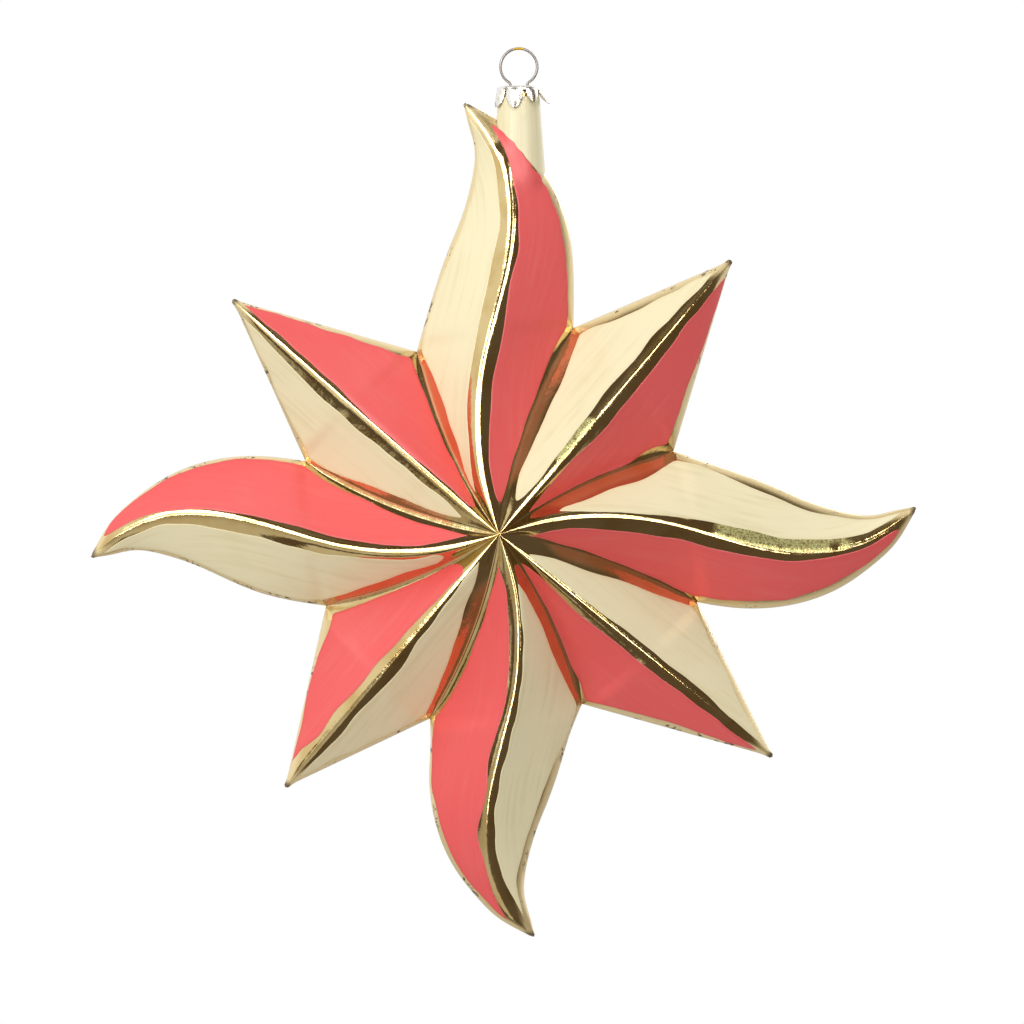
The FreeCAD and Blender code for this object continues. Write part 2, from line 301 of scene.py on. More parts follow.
RAY_LAYOUTS = (
    RayLayout("n", True, 94.6, 1.048, 0.92, 0.965, 1.015, 114.3),
    RayLayout("nw", False, 138.7, 1.006, 1.0, 1.0, 1.050, 159.4),
    RayLayout("w", True, 183.2, 0.991, 1.0, 0.99, 0.951, 202.5),
    RayLayout("sw", False, 229.8, 0.939, 1.0, 1.0, 1.000, 249.4),
    RayLayout("s", True, 274.9, 0.980, 0.93, 0.99, 0.959, 296.0),
    RayLayout("se", False, 320.8, 0.999, 1.0, 1.0, 1.061, 341.0),
    RayLayout("e", True, 363.6, 1.013, 0.98, 0.94, 0.979, 385.4),
    RayLayout("ne", False, 409.7, 1.018, 1.0, 1.0, 1.111, 430.2),
)


@dataclass(frozen=True)
class FieldLimits:
    """Borders of one field of lacquer.

    Start and stop are shares of the ray. Band holds the bare widths beside the ridge, and
    strip those beside the valley and the rim, in mm at the places along the ray.
    """

    start: float
    stop: float
    band: tuple[float, ...]
    strip: tuple[float, ...]


CREAM_FIELDS = {
    "n": FieldLimits(0.105, 0.985, (2.0, 2.1, 2.4, 2.6, 2.9, 3.5, 3.3, 2.9, 2.7, 1.9),
                     (0.8, 2.1, 2.4, 1.9, 0.6, 0.55, 0.95, 1.0, 0.8, 0.45)),
    "nw": FieldLimits(0.11, 0.97, (2.1, 2.4, 2.5, 2.8, 3.1, 3.1, 3.1, 2.6, 2.2, 1.45),
                      (1.8, 2.05, 2.3, 1.6, 0.8, 1.2, 0.7, 0.6, 0.6, 0.5)),
    "w": FieldLimits(0.14, 0.975, (1.1, 1.7, 1.7, 2.4, 2.9, 3.0, 3.1, 2.6, 1.9, 1.7),
                     (1.15, 2.1, 2.0, 1.8, 0.8, 0.8, 0.8, 0.8, 0.7, 0.6)),
    "sw": FieldLimits(0.1, 0.95, (0.4, 0.9, 1.3, 1.5, 2.5, 2.35, 1.8, 1.8, 1.6, 1.1),
                      (3.2, 3.5, 3.0, 2.4, 1.7, 1.0, 0.9, 0.8, 1.2, 0.8)),
    "s": FieldLimits(0.125, 0.95, (0.5, 0.7, 0.9, 1.1, 1.4, 1.4, 1.4, 1.5, 1.7, 1.9),
                     (2.4, 2.5, 2.65, 1.85, 0.5, 1.3, 2.0, 1.6, 1.7, 1.4)),
    "se": FieldLimits(0.1, 0.97, (0.4, 0.5, 0.7, 1.0, 1.3, 1.4, 1.4, 1.5, 1.1, 0.7),
                      (3.2, 3.8, 3.4, 3.05, 2.15, 1.1, 1.3, 1.1, 1.4, 1.1)),
    "e": FieldLimits(0.15, 0.975, (1.3, 0.8, 0.8, 1.4, 2.4, 3.0, 3.0, 2.8, 2.7, 1.8),
                     (2.7, 3.5, 3.9, 3.4, 1.4, 2.0, 2.5, 2.4, 1.6, 0.8)),
    "ne": FieldLimits(0.1, 0.955, (1.1, 1.1, 1.6, 1.9, 2.3, 2.2, 2.2, 2.2, 1.8, 1.2),
                      (1.9, 2.9, 3.3, 3.7, 2.8, 1.8, 2.1, 2.0, 1.5, 1.0)),
}
CORAL_FIELDS = {
    "n": FieldLimits(0.065, 0.945, (1.95, 2.65, 2.85, 3.0, 2.7, 1.5, 1.7, 1.2, 0.8, 1.15),
                     (0.4, 0.35, 0.8, 1.6, 1.4, 1.2, 1.6, 1.4, 1.65, 1.9)),
    "nw": FieldLimits(0.095, 0.965, (0.45, 0.6, 0.2, 0.3, 0.15, 0.6, 0.9, 0.8, 1.05, 0.75),
                      (0.5, 0.45, 0.6, 0.7, 1.3, 1.9, 1.3, 1.05, 0.7, 0.4)),
    "w": FieldLimits(0.07, 0.965, (1.7, 1.2, 1.9, 1.6, 2.05, 1.3, 1.2, 0.8, 0.9, 1.3),
                     (1.65, 1.85, 1.45, 1.85, 0.95, 0.65, 0.6, 0.65, 0.65, 0.25)),
    "sw": FieldLimits(0.14, 0.955, (0.25, 0.95, 1.35, 1.45, 1.95, 1.9, 1.85, 2.35, 1.65, 2.6),
                      (0.2, 0.6, 0.75, 1.2, 1.85, 2.3, 1.1, 0.35, 0.5, 0.4)),
    "s": FieldLimits(0.07, 0.95, (2.2, 2.15, 2.25, 1.65, 2.0, 2.0, 0.9, 2.2, 1.15, 1.85),
                     (1.3, 1.4, 1.85, 1.5, 0.6, 0.35, 0.8, 1.0, 1.0, 1.2)),
    "se": FieldLimits(0.1, 0.955, (1.45, 1.9, 2.4, 2.2, 2.1, 2.2, 1.9, 1.55, 1.45, 1.1),
                      (0.15, 0.15, 0.15, 0.15, 0.8, 1.3, 1.35, 1.6, 1.05, 0.5)),
    "e": FieldLimits(0.065, 0.955, (2.4, 3.15, 3.5, 3.45, 3.0, 2.75, 2.1, 1.7, 1.05, 0.95),
                     (0.6, 0.25, 0.3, 0.6, 1.4, 1.6, 1.55, 1.5, 1.7, 1.3)),
    "ne": FieldLimits(0.1, 0.96, (1.6, 1.5, 1.95, 2.65, 2.55, 2.4, 2.4, 1.8, 1.65, 1.4),
                      (0.15, 0.15, 0.15, 0.25, 1.9, 1.8, 1.65, 0.95, 0.5, 0.15)),
}


@dataclass
class NeckForm:
    """Round neck that stands out of the ray beside it. Sizes in mm."""

    top_radius: float = 4.3
    base_radius: float = 5.75
    rim_height: float = -8.52
    length: float = 19.4
    root_radius: float = 2.5
    root_length: float = 14.0
    wall: float = 0.9
    fillet: float = 1.6
    side_fall: float = 3.0

    def radius(self, height: Array) -> Array:
        """Outside radius, in straight steps between the rim, the base and the root's end."""
        base = self.rim_height - self.length
        stations = (base - self.root_length, base, self.rim_height)
        return np.interp(height, stations, (self.root_radius, self.base_radius, self.top_radius))

    def front(self, x: Array, z: Array) -> Array:
        """Signed height of the neck's front over the mid-plane.

        The root of the radius squared less x squared, and beside the neck a steep fall.
        """
        radius = self.radius(z)
        inside = np.sqrt(np.clip(radius**2 - x**2, 0.0, None))
        return np.where(np.abs(x) < radius, inside, -self.side_fall * (np.abs(x) - radius))


@dataclass
class Ray:
    """One ray of the star: its ridge, valleys, outline and rounded slopes. Sizes in mm.

    What ends in share is a share of the ray's length or, for round_share, of a slope's width.
    """

    layout: RayLayout
    right_layout: RayLayout
    neck: NeckForm | None = None
    centre_x: float = -4.3
    centre_z: float = -105.6
    wavy_length: float = 90.0
    straight_length: float = 77.0
    notch_radius: float = 43.0
    peak: float = 24.0
    ridge_fall: float = 0.8
    valley_bow: float = 0.05
    notch_clear: float = 0.06
    ridge_round: float = 1.5
    valley_round: float = 1.0
    rim_round: float = 2.0
    tip_radius: float = 0.55
    tip_fade: float = 4.0
    narrow_width: float = 0.2
    least_width: float = 1e-4
    round_share: float = 0.4
    valley_fade_share: float = 0.05
    rim_fade_share: float = 0.04
    neck_sink: float = 0.04
    neck_fade: float = 0.25
    wave_depth: float = 0.10
    wave_length: float = 15.0
    wave_seed: int = 11
    calm_height: float = 4.0

    def __post_init__(self) -> None:
        """Work out the ray's length, notches, ridge and outlines."""
        own = self.layout
        self.length = own.length_share * (self.wavy_length if own.wavy else self.straight_length)
        self.along_way = heading(own.bearing)
        self.left_way = np.array([-self.along_way[1], self.along_way[0]])
        self.centre = np.array([self.centre_x, self.centre_z])
        right = self.right_layout
        full_turn = 360.0 if own.name == "n" else 0.0
        self.notch_facts = {
            Side.LEFT: (own.notch_radius_share, own.notch_bearing),
            Side.RIGHT: (right.notch_radius_share, right.notch_bearing - full_turn),
        }
        reaches = [self._notch_span(side) @ self.along_way for side in Side]
        self.split = sum(reaches) / 2 / self.length
        rows = np.array(WAVY_RIDGE_SHARES)
        asides = rows[:, 1] if own.wavy else np.zeros(len(rows))
        plan = self._place(rows[:, 0], asides)
        heights = self.peak * (1 - rows[:, 0]) ** self.ridge_fall
        self.ridge = SmoothCurve(rows[:, 0], np.column_stack([plan, heights]))
        self.outlines = {side: self._outline(side) for side in Side}

    def _place(self, along: Array, aside: Array) -> Array:
        """Plan points at shares of the length along and to the left of the centre line."""
        steps = np.outer(along, self.along_way) + np.outer(aside, self.left_way)
        return self.centre + steps * self.length

    def _notch_span(self, side: Side) -> Array:
        """Plan vector from the centre to the notch."""
        share, bearing = self.notch_facts[side]
        return heading(bearing) * (share * self.notch_radius)

    def _outline(self, side: Side) -> SmoothCurve:
        """Outline from the notch to the tip, through the share table on a wavy ray."""
        notch = self.centre + self._notch_span(side)
        tip = self._place(np.array([1.0]), np.array([0.0]))[0]
        if not self.layout.wavy:
            return SmoothCurve((self.split, 1.0), [notch, tip])
        share, bearing = self.notch_facts[side]
        start = heading(bearing - self.layout.bearing) * (share * self.notch_radius / self.length)
        column = 1 if side is Side.LEFT else 2
        rows = np.array(WAVY_EDGE_SHARES)
        known = np.concatenate([start[:1], rows[:, 0], [1.0]])
        edge = np.concatenate([start[1:], rows[:, column], [0.0]])
        places = rows[rows[:, 0] >= self.split + self.notch_clear, 0]
        ridges = np.array(WAVY_RIDGE_SHARES)
        ridge = np.interp(places, ridges[:, 0], ridges[:, 1])
        own = self.layout
        width_share = own.left_width_share if side is Side.LEFT else own.right_width_share
        aside = ridge + (np.interp(places, known, edge) - ridge) * width_share
        points = [notch, *self._place(places, aside), tip]
        return SmoothCurve([self.split, *places, 1.0], points)

    def border(self, side: Side, along: Array) -> Array:
        """Valley, and past the notch the outline, as plan and height.

        The valley is the straight line to the notch, bowed by four times the bow times the
        place times what is left, and its height falls evenly to nothing at the notch.

        Args:
            side: Which border.
            along: Shares of the ray's length.

        Returns:
            Rows of x, z and height.
        """
        share = np.clip(along / self.split, 0.0, 1.0)[:, None]
        span = self._notch_span(side)
        bow = np.array([-span[1], span[0]]) * self.valley_bow
        valley = self.centre + span * share + bow * (4 * share * (1 - share))
        outline = self.outlines[side].at(along)
        plan = np.where(along[:, None] <= self.split, valley, outline)
        border = np.column_stack([plan, self.peak * (1 - share[:, 0])])
        return self._blunted(side, along, self.ridge.at(along), border)

    def _blunted(self, side: Side, along: Array, ridge: Array, border: Array) -> Array:
        """Border that keeps off the ridge by at least a circle's half chord at the tip.

        The half chord is the root of the distance from the tip times what is left of the
        circle's diameter, and fades out behind the circle.

        Args:
            side: Which border.
            along: Shares of the ray's length.
            ridge: Points of the ridge.
            border: Points of the border.

        Returns:
            Points of the blunted border.
        """
        away = (1 - along) * self.length
        radius = self.tip_radius
        chord = np.sqrt(np.clip(away * (2 * radius - away), 0.0, None))
        chord = np.where(away > radius, radius, chord)
        chord = chord * (1 - smooth((away - radius) / self.tip_fade))
        span = border[:, :2] - ridge[:, :2]
        width = np.hypot(span[:, 0], span[:, 1])
        target = np.sqrt(width**2 + np.where(away > 0, chord, 0.0) ** 2)
        way = side.value * self.left_way[None, :]
        wide = width[:, None] > self.narrow_width
        unit = np.where(wide, span / np.maximum(width, TINY)[:, None], way)
        blunt = border.copy()
        blunt[:, :2] = ridge[:, :2] + unit * target[:, None]
        return np.where((along > self.split)[:, None], blunt, border)

    def width(self, side: Side, along: Array) -> Array:
        """Plan width of a slope at some places along the ray."""
        span = self.border(side, along)[:, :2] - self.ridge.at(along)[:, :2]
        return np.hypot(span[:, 0], span[:, 1])

    def slope(self, side: Side, along: Array, across: Array) -> Array:
        """Points of one slope of the front.

        Each point lies on the straight line from the ridge to the border. Up to the notch the
        height falls from the ridge's to the valley's by the eased share. Past it the height
        is the ridge's, times the root of the squared fall plus twice the rim's radius times
        the distance from the rim, over the same at the ridge, which rounds the rim.

        Args:
            side: Which slope.
            along: Shares of the ray's length, n of them.
            across: Shares from ridge to border, n rows.

        Returns:
            An array of n rows of points with x, y and z in mm.
        """
        ridge = self.ridge.at(along)
        border = self.border(side, along)
        width = np.maximum(self.width(side, along), self.least_width)[:, None]
        plan = ridge[:, None, :2] + (border - ridge)[:, None, :2] * across[..., None]
        high = ridge[:, 2:3]
        low = border[:, 2:3]
        past = (along - self.split)[:, None]
        first = np.minimum(self.ridge_round / width, self.round_share)
        last = np.minimum(self.valley_round / width, self.round_share)
        last = last * smooth(-past / self.valley_fade_share)
        inner = high + (low - high) * eased_share(across, first, last)
        away = width * (1 - eased_share(across, first, 0 * last))
        fall = (high / width) ** 2
        rim = 2 * self.rim_round * smooth(past / self.rim_fade_share)
        outer = high * np.sqrt((fall * away**2 + rim * away) / (fall * width**2 + rim * width))
        height = np.where(past <= 0, inner, outer)
        height = self._weather(plan, height)
        if self.neck:
            beside = np.clip(width * (1 - across) / self.neck_fade, 0.0, 1.0)
            tube = (self.neck.front(plan[..., 0], plan[..., 1]) - self.neck_sink) * beside
            height = smooth_max(height, np.where(past > 0, tube, -FAR), self.neck.fillet)
            height = height * np.where(across >= 1, past <= 0, 1)
        return np.stack([plan[..., 0], -height, plan[..., 1]], axis=-1)

    def _weather(self, plan: Array, height: Array) -> Array:
        """Let the blown surface sink in soft waves, less where it is low."""
        bumps = 0.5 + 0.5 * waves(plan[..., 0], plan[..., 1], self.wave_seed, self.wave_length)
        return height - self.wave_depth * bumps * smooth(height / self.calm_height)


def surface_normals(points: Array) -> Array:
    """Unit normals of a grid of points, from the cross product of its two directions."""
    down = np.gradient(points, axis=0)
    over = np.gradient(points, axis=1)
    normals = np.cross(down, over)
    size = np.linalg.norm(normals, axis=-1, keepdims=True)
    return normals / np.maximum(size, LEAST_LENGTH)


def grid_quads(rows: int, columns: int, first: int = 0, wrap: bool = False) -> Array:
    """Corner numbers of the faces of a grid of points.

    Args:
        rows: Rows of points.
        columns: Points in a row.
        first: Number of the first point.
        wrap: Whether each row closes on itself.

    Returns:
        One row of four corners for each face.
    """
    numbers = np.arange(rows * columns).reshape(rows, columns) + first
    if wrap:
        numbers = np.concatenate([numbers, numbers[:, :1]], axis=1)
    corners = (numbers[:-1, :-1], numbers[1:, :-1], numbers[1:, 1:], numbers[:-1, 1:])
    return np.stack(corners, axis=-1).reshape(-1, 4)


def new_object(name: str, data: bpy.types.ID) -> bpy.types.Object:
    """Put a mesh, a lamp or a camera into the scene."""
    made = bpy.data.objects.new(name, data)
    bpy.context.scene.collection.objects.link(made)
    return made


@dataclass
class Sheet:
    """Points, faces and point values that are gathered for one mesh, in mm."""

    points: list[Array] = field(default_factory=list)
    faces: list[Array] = field(default_factory=list)
    values: dict[str, list[Array]] = field(default_factory=dict)
    count: int = 0

    def add_grid(self, grid: Array, flip: bool = False, wrap: bool = False,
                 **values: Array) -> None:
        """Add a grid of points and its faces.

        Args:
            grid: Rows and columns of points.
            flip: Whether its faces are turned over.
            wrap: Whether each row closes on itself.
            values: Named numbers for the points, each an array like the grid.
        """
        rows, columns = grid.shape[:2]
        quads = grid_quads(rows, columns, self.count, wrap)
        self.points.append(grid.reshape(-1, 3))
        self.faces.append(quads[:, ::-1] if flip else quads)
        for name, numbers in values.items():
            flat = np.asarray(numbers).reshape(rows * columns, -1)
            self.values.setdefault(name, []).append(flat)
        self.count += rows * columns

    def build(self, name: str, merge: bool = True) -> bpy.types.Object:
        """Write the mesh, close its seams and link it to the scene.

        Args:
            name: Name of the piece.
            merge: Whether points in one place become one.

        Returns:
            The new object.
        """
        mesh = bpy.data.meshes.new(name)
        points = np.concatenate(self.points) * MM
        mesh.from_pydata(points.tolist(), [], np.concatenate(self.faces).tolist())
        for label, parts in self.values.items():
            numbers = np.concatenate(parts).astype(np.float32)
            kind, key = ("FLOAT", "value") if numbers.shape[1] == 1 else ("FLOAT_VECTOR", "vector")
            mesh.attributes.new(label, kind, "POINT").data.foreach_set(key, numbers.ravel())
        if merge:
            tidy_mesh(mesh)
        mesh.polygons.foreach_set("use_smooth", np.ones(len(mesh.polygons), bool))
        mesh.update()
        return new_object(name, mesh)


def tidy_mesh(mesh: bpy.types.Mesh) -> None:
    """Merge points in one place, drop empty faces and face the surface outwards."""
    form = bmesh.new()
    form.from_mesh(mesh)
    bmesh.ops.remove_doubles(form, verts=form.verts, dist=MERGE_DISTANCE)
    bmesh.ops.dissolve_degenerate(form, edges=form.edges, dist=MERGE_DISTANCE)
    bmesh.ops.recalc_face_normals(form, faces=form.faces)
    form.to_mesh(mesh)
    form.free()


def place_piece(piece: bpy.types.Object, body: Body, slot: str, finish: bpy.types.Material,
                *nodes: str) -> None:
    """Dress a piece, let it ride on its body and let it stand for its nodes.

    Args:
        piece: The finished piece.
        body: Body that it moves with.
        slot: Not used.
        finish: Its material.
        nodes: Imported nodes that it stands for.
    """
    piece.data.materials.clear()
    piece.data.materials.append(finish)
    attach(piece, body.value)
    if nodes:
        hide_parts(*nodes)
    LOG.info("%s: %d faces on %s", piece.name, len(piece.data.polygons), body.value)


def operation(name: str, flipped: bool = False) -> "Callable[[Flow, Link], Flow]":
    """Make the method of an operator.

    Args:
        name: Operation of the Math node.
        flipped: Whether the other number comes first.

    Returns:
        The method.
    """
    def act(flow: "Flow", other: Link) -> "Flow":
        """Add the Math node."""
        return flow.math(name, other, flow) if flipped else flow.math(name, flow, other)

    return act


class Flow:
    """A number that changes over a surface, with the sums that can be done on it."""

    def __init__(self, nodes: "NodeTree", socket: bpy.types.NodeSocket) -> None:
        """Wrap an output socket of a tree."""
        self.nodes = nodes
        self.socket = socket

    def math(self, name: str, *values: Link) -> "Flow":
        """Add one Math node on some values."""
        made = self.nodes.add("ShaderNodeMath", {"operation": name}, dict(enumerate(values)))
        return Flow(self.nodes, made.outputs[0])

    __add__, __radd__ = operation("ADD"), operation("ADD", True)
    __sub__, __rsub__ = operation("SUBTRACT"), operation("SUBTRACT", True)
    __mul__, __rmul__ = operation("MULTIPLY"), operation("MULTIPLY", True)

    def over(self, low: float, high: float) -> "Flow":
        """Share of the way from low to high, eased and kept from 0 to 1."""
        settings = {"interpolation_type": "SMOOTHSTEP"}
        made = self.nodes.add("ShaderNodeMapRange", settings,
                              {"Value": self, "From Min": low, "From Max": high})
        return Flow(self.nodes, made.outputs[0])


class NodeTree:
    """Node tree of one material or world."""

    def __init__(self, tree: bpy.types.NodeTree) -> None:
        """Start from an empty tree."""
        self.tree = tree
        self.tree.nodes.clear()

    def add(self, kind: str, settings: dict | None = None,
            inputs: dict | None = None) -> bpy.types.Node:
        """Add any node.

        Args:
            kind: Type of the node.
            settings: Its own settings, set first.
            inputs: Values or links of its sockets, by name or number.

        Returns:
            The node.
        """
        node = self.tree.nodes.new(kind)
        for name, value in (settings or {}).items():
            setattr(node, name, value)
        for key, value in (inputs or {}).items():
            self.put(node.inputs[key], value)
        return node

    def put(self, socket: bpy.types.NodeSocket, value: Link) -> None:
        """Link a value into a socket, or write it there."""
        if isinstance(value, Flow):
            value = value.socket
        if isinstance(value, bpy.types.NodeSocket):
            self.tree.links.new(value, socket)
        else:
            socket.default_value = value

    def blend(self, share: Link, first: Link, second: Link) -> bpy.types.NodeSocket:
        """Mix two colours by a share."""
        settings = {"data_type": "RGBA", "clamp_factor": True}
        made = self.add("ShaderNodeMix", settings, {0: share, 6: first, 7: second})
        return made.outputs[2]

    def place(self, stretch: tuple[float, float, float] = (1.0, 1.0, 1.0)) -> bpy.types.NodeSocket:
        """Object coordinates in mm, stretched along each axis."""
        own = self.add("ShaderNodeTexCoord").outputs["Object"]
        scale = tuple(value / MM for value in stretch)
        return self.add("ShaderNodeMapping", None, {"Vector": own, "Scale": scale}).outputs[0]

    def stroke(self, stretch: tuple[float, float, float]) -> bpy.types.NodeSocket:
        """The piece's own brush coordinates, along and across the field in mm."""
        own = self.add("ShaderNodeAttribute", {"attribute_name": "stroke"}).outputs["Vector"]
        return self.add("ShaderNodeMapping", None, {"Vector": own, "Scale": stretch}).outputs[0]

    def value(self, name: str) -> Flow:
        """A number that the piece carries on its points."""
        made = self.add("ShaderNodeAttribute", {"attribute_name": name})
        return Flow(self, made.outputs["Fac"])

    def noise(self, vector: Link, scale: float, detail: float = 2.0,
              rough: float = 0.5) -> Flow:
        """Cloudy noise from 0 to 1."""
        made = self.add("ShaderNodeTexNoise", None, {
            "Vector": vector, "Scale": scale, "Detail": detail, "Roughness": rough})
        return Flow(self, made.outputs[0])

    def bump(self, height: Link, strength: float, depth: float,
             normal: "Link | None" = None) -> bpy.types.NodeSocket:
        """Normal that is tilted by a height, with its depth in mm."""
        inputs = {"Height": height, "Strength": strength, "Distance": depth * MM}
        if normal is not None:
            inputs["Normal"] = normal
        return self.add("ShaderNodeBump", None, inputs).outputs[0]


def new_finish(name: str, make: Callable[[NodeTree], dict]) -> bpy.types.Material:
    """Make a material with one Principled shader.

    Args:
        name: Name of the material.
        make: Builds the patterns and returns the shader's sockets.

    Returns:
        The material.
    """
    material = bpy.data.materials.new(name)
    material.use_nodes = True
    nodes = NodeTree(material.node_tree)
    shader = nodes.add("ShaderNodeBsdfPrincipled", None, make(nodes))
    nodes.add("ShaderNodeOutputMaterial", None, {"Surface": shader.outputs[0]})
    return material


class Finish(ABC):
    """Material whose patterns each kind of finish works out from its own colours."""

    name: str

    def material(self) -> bpy.types.Material:
        """Build the material."""
        return new_finish(self.name, self._sockets)

    @abstractmethod
    def _sockets(self, nodes: NodeTree) -> dict:
        """Work out the patterns.

        Args:
            nodes: The tree to build in.

        Returns:
            Sockets of the shader, by name.
        """


@dataclass(frozen=True)
class GoldMirror(Finish):
    """Bright gold mirror under clear glass, with dull flakes along the mould seam.

    Each place is a ball: its middle, its reach and how much X is squeezed before the
    distance is taken, in mm. The coat is crinkled in the worn places, which also carry
    painted pale glints, and the other place is a painted pale reflection.
    """

    name: str = "gold_mirror"
    gold: Colour = linear(222, 198, 140)
    deep: Colour = linear(206, 174, 108)
    flake: Colour = linear(58, 34, 14)
    # Painted pale reflection of the rims and of one place near the top tip
    pale_reflection: Colour = linear(236, 214, 160)
    # Painted pale glint in the worn places
    painted_glint: Colour = linear(222, 222, 150)
    # Painted reflection of the neighbouring coral in the gold beside the valleys
    coral_reflection: Colour = linear(226, 104, 58)
    roughness: float = 0.09
    coat: float = 0.5
    coat_roughness: float = 0.04
    # Share of the painted dark reflection at the blunt tips, in the flake colour
    tip_dark_reflection: float = 0.75
    # Share of the painted coral reflection beside the valleys
    coral_reflection_share: float = 0.55
    # Share of the painted pale reflection at the pale place
    pale_reflection_share: float = 0.6
    place_edge: float = 0.85
    # How much metal the painted pale reflection, the painted coral reflection and the painted
    # glints take, and how much roughness the sparkle, the flakes, the worn places and the painted
    # pale reflection add
    metal_losses: tuple[float, float, float] = (0.45, 0.5, 0.5)
    rough_gains: tuple[float, float, float, float] = (0.10, 0.3, 0.15, 0.25)
    # Height of the sparkle everywhere, and what a worn place adds to it
    sparkle_heights: tuple[float, float] = (0.4, 2.0)
    # Worn places, which also carry the painted pale glints
    worn_and_glint_places: tuple = (((56.0, -9.0, -107.5), 7.5, 0.36), ((13.5, -17.0, -86.5), 7.0, 1.0))
    # Painted pale reflection near the top tip
    pale_reflection_place: tuple = ((-8.5, -3.0, -14.0), 8.0, 1.0)

    def _sockets(self, nodes: NodeTree) -> dict:
        """Cloudy gold with flaked rims, painted pale reflection at the rims, painted coral
        reflection in the valleys and painted dark reflection at the tips.

        The values rim, dale and tip are distances in mm from the rim, the valley beside
        coral and the tip. Soft waves and a fine sparkle tilt the normal, and the sparkle is
        stronger where the coat is worn, where painted pale glints are laid as well.

        Args:
            nodes: The tree to build in.

        Returns:
            Sockets of the shader.
        """
        own = nodes.place()
        cloud = nodes.noise(own, scale=0.12, detail=3.0)
        gold = nodes.blend(cloud.over(0.35, 0.7), self.gold, self.deep)
        near_rim = 1 - nodes.value("rim").over(0.4, 1.2)
        patches = nodes.noise(own, scale=0.09).over(0.50, 0.62)
        spots = nodes.noise(own, scale=0.62, detail=4.0, rough=0.7).over(0.54, 0.60)
        flakes = near_rim * spots * patches
        fine = nodes.noise(own, scale=2.0, detail=3.0, rough=0.65)
        holes = nodes.noise(own, scale=0.22, detail=3.0, rough=0.6).over(0.30, 0.46)
        holes = holes * nodes.value("cream_side")
        at_rim = 1 - nodes.value("rim").over(0.9, 2.7)
        worn_and_glint = sum(self._near(nodes, *place) for place in self.worn_and_glint_places) * holes * (1 - at_rim)
        pale = self._near(nodes, *self.pale_reflection_place)
        # Painted pale reflection at the rims and at the pale place
        pale_reflected = at_rim + self.pale_reflection_share * pale * (1 - at_rim)
        # Painted reflection of the neighbouring coral in the gold beside the valley
        coral_reflected = self.coral_reflection_share * (1 - nodes.value("dale").over(1.8, 3.6))
        # Painted pale glints in the worn places
        painted_glints = worn_and_glint * fine.over(0.3, 0.6)
        colour = nodes.blend(coral_reflected, gold, self.coral_reflection)
        colour = nodes.blend(pale_reflected, colour, self.pale_reflection)
        colour = nodes.blend(painted_glints, colour, self.painted_glint)
        # Painted dark reflection at the tips, in the flake colour
        dark_tip_reflection = self.tip_dark_reflection * (1 - nodes.value("tip").over(0.5, 1.8))
        colour = nodes.blend(flakes + dark_tip_reflection * (1 - flakes), colour, self.flake)
        soft = nodes.bump(nodes.noise(own, scale=0.30), strength=0.35, depth=0.25)
        metal, rough = 1, self.roughness
        for loss, share in zip(self.metal_losses, (pale_reflected, coral_reflected, painted_glints)):
            metal = metal - loss * share
        for gain, share in zip(self.rough_gains, (fine.over(0.5, 0.9), flakes, worn_and_glint, pale_reflected)):
            rough = rough + gain * share
        smooth_part, worn_part = self.sparkle_heights
        sparkle = fine * (smooth_part + worn_part * worn_and_glint)
        return {
            "Base Color": colour,
            "Metallic": metal,
            "Roughness": rough,
            "Coat Weight": self.coat,
            "Coat Roughness": self.coat_roughness,
            "Normal": nodes.bump(sparkle, strength=0.40, depth=0.10, normal=soft),
        }

    def _near(self, nodes: NodeTree, middle: tuple[float, float, float], reach: float,
              stretch: float) -> Flow:
        """Share from 0 to 1 inside a ball that is stretched along X.

        Args:
            nodes: The tree to build in.
            middle: Middle of the ball in mm.
            reach: Its radius in mm.
            stretch: Number that X is multiplied by before the distance is taken.

        Returns:
            The share.
        """
        apart = nodes.add("ShaderNodeVectorMath", {"operation": "DISTANCE"},
                          {0: nodes.place((stretch, 1.0, 1.0)),
                           1: (middle[0] * stretch, middle[1], middle[2])})
        return 1 - Flow(nodes, apart.outputs["Value"]).over(self.place_edge * reach, reach)


@dataclass(frozen=True)
class Lacquer(Finish):
    """Hand-brushed satin lacquer with streaks along the ray."""

    name: str
    colour: Colour
    thin: Colour
    thick: Colour
    streak: float
    roughness: float
    coat: float
    gloss: float
    coat_roughness: float = 0.28
    refraction: float = 1.47
    thick_share: float = 0.35
    streak_share: float = 0.65
    brush_share: float = 0.6
    hair_roughness: float = 0.16
    even_roughness: float = 0.05

    def _sockets(self, nodes: NodeTree) -> dict:
        """Streaks along the stroke, clouds between thin and thick paint, and brush marks.

        Args:
            nodes: The tree to build in.

        Returns:
            Sockets of the shader.
        """
        streaks = nodes.noise(nodes.stroke((0.045, 1.0, 1.0)), scale=0.9, detail=4.0, rough=0.6)
        hairs = nodes.noise(nodes.stroke((0.06, 3.2, 1.0)), scale=1.0)
        cloud = nodes.noise(nodes.stroke((0.5, 0.8, 1.0)), scale=0.16)
        mixed = streaks * self.streak_share + cloud * (1 - self.streak_share)
        thinness = mixed.over(0.46, 0.68) * self.streak
        colour = nodes.blend(thinness, self.colour, self.thin)
        edge = 1 - nodes.value("edge").over(0.05, 0.9)
        brushing = streaks * self.brush_share + hairs * (1 - self.brush_share)
        return {
            "Base Color": nodes.blend(edge * self.thick_share, colour, self.thick),
            "Roughness": (self.roughness + self.hair_roughness * hairs.over(0.35, 0.75)
                          - self.even_roughness),
            "IOR": self.refraction,
            "Coat Weight": self.coat,
            "Coat Roughness": self.coat_roughness,
            "Specular IOR Level": self.gloss,
            "Normal": nodes.bump(brushing, strength=0.22, depth=0.10),
        }


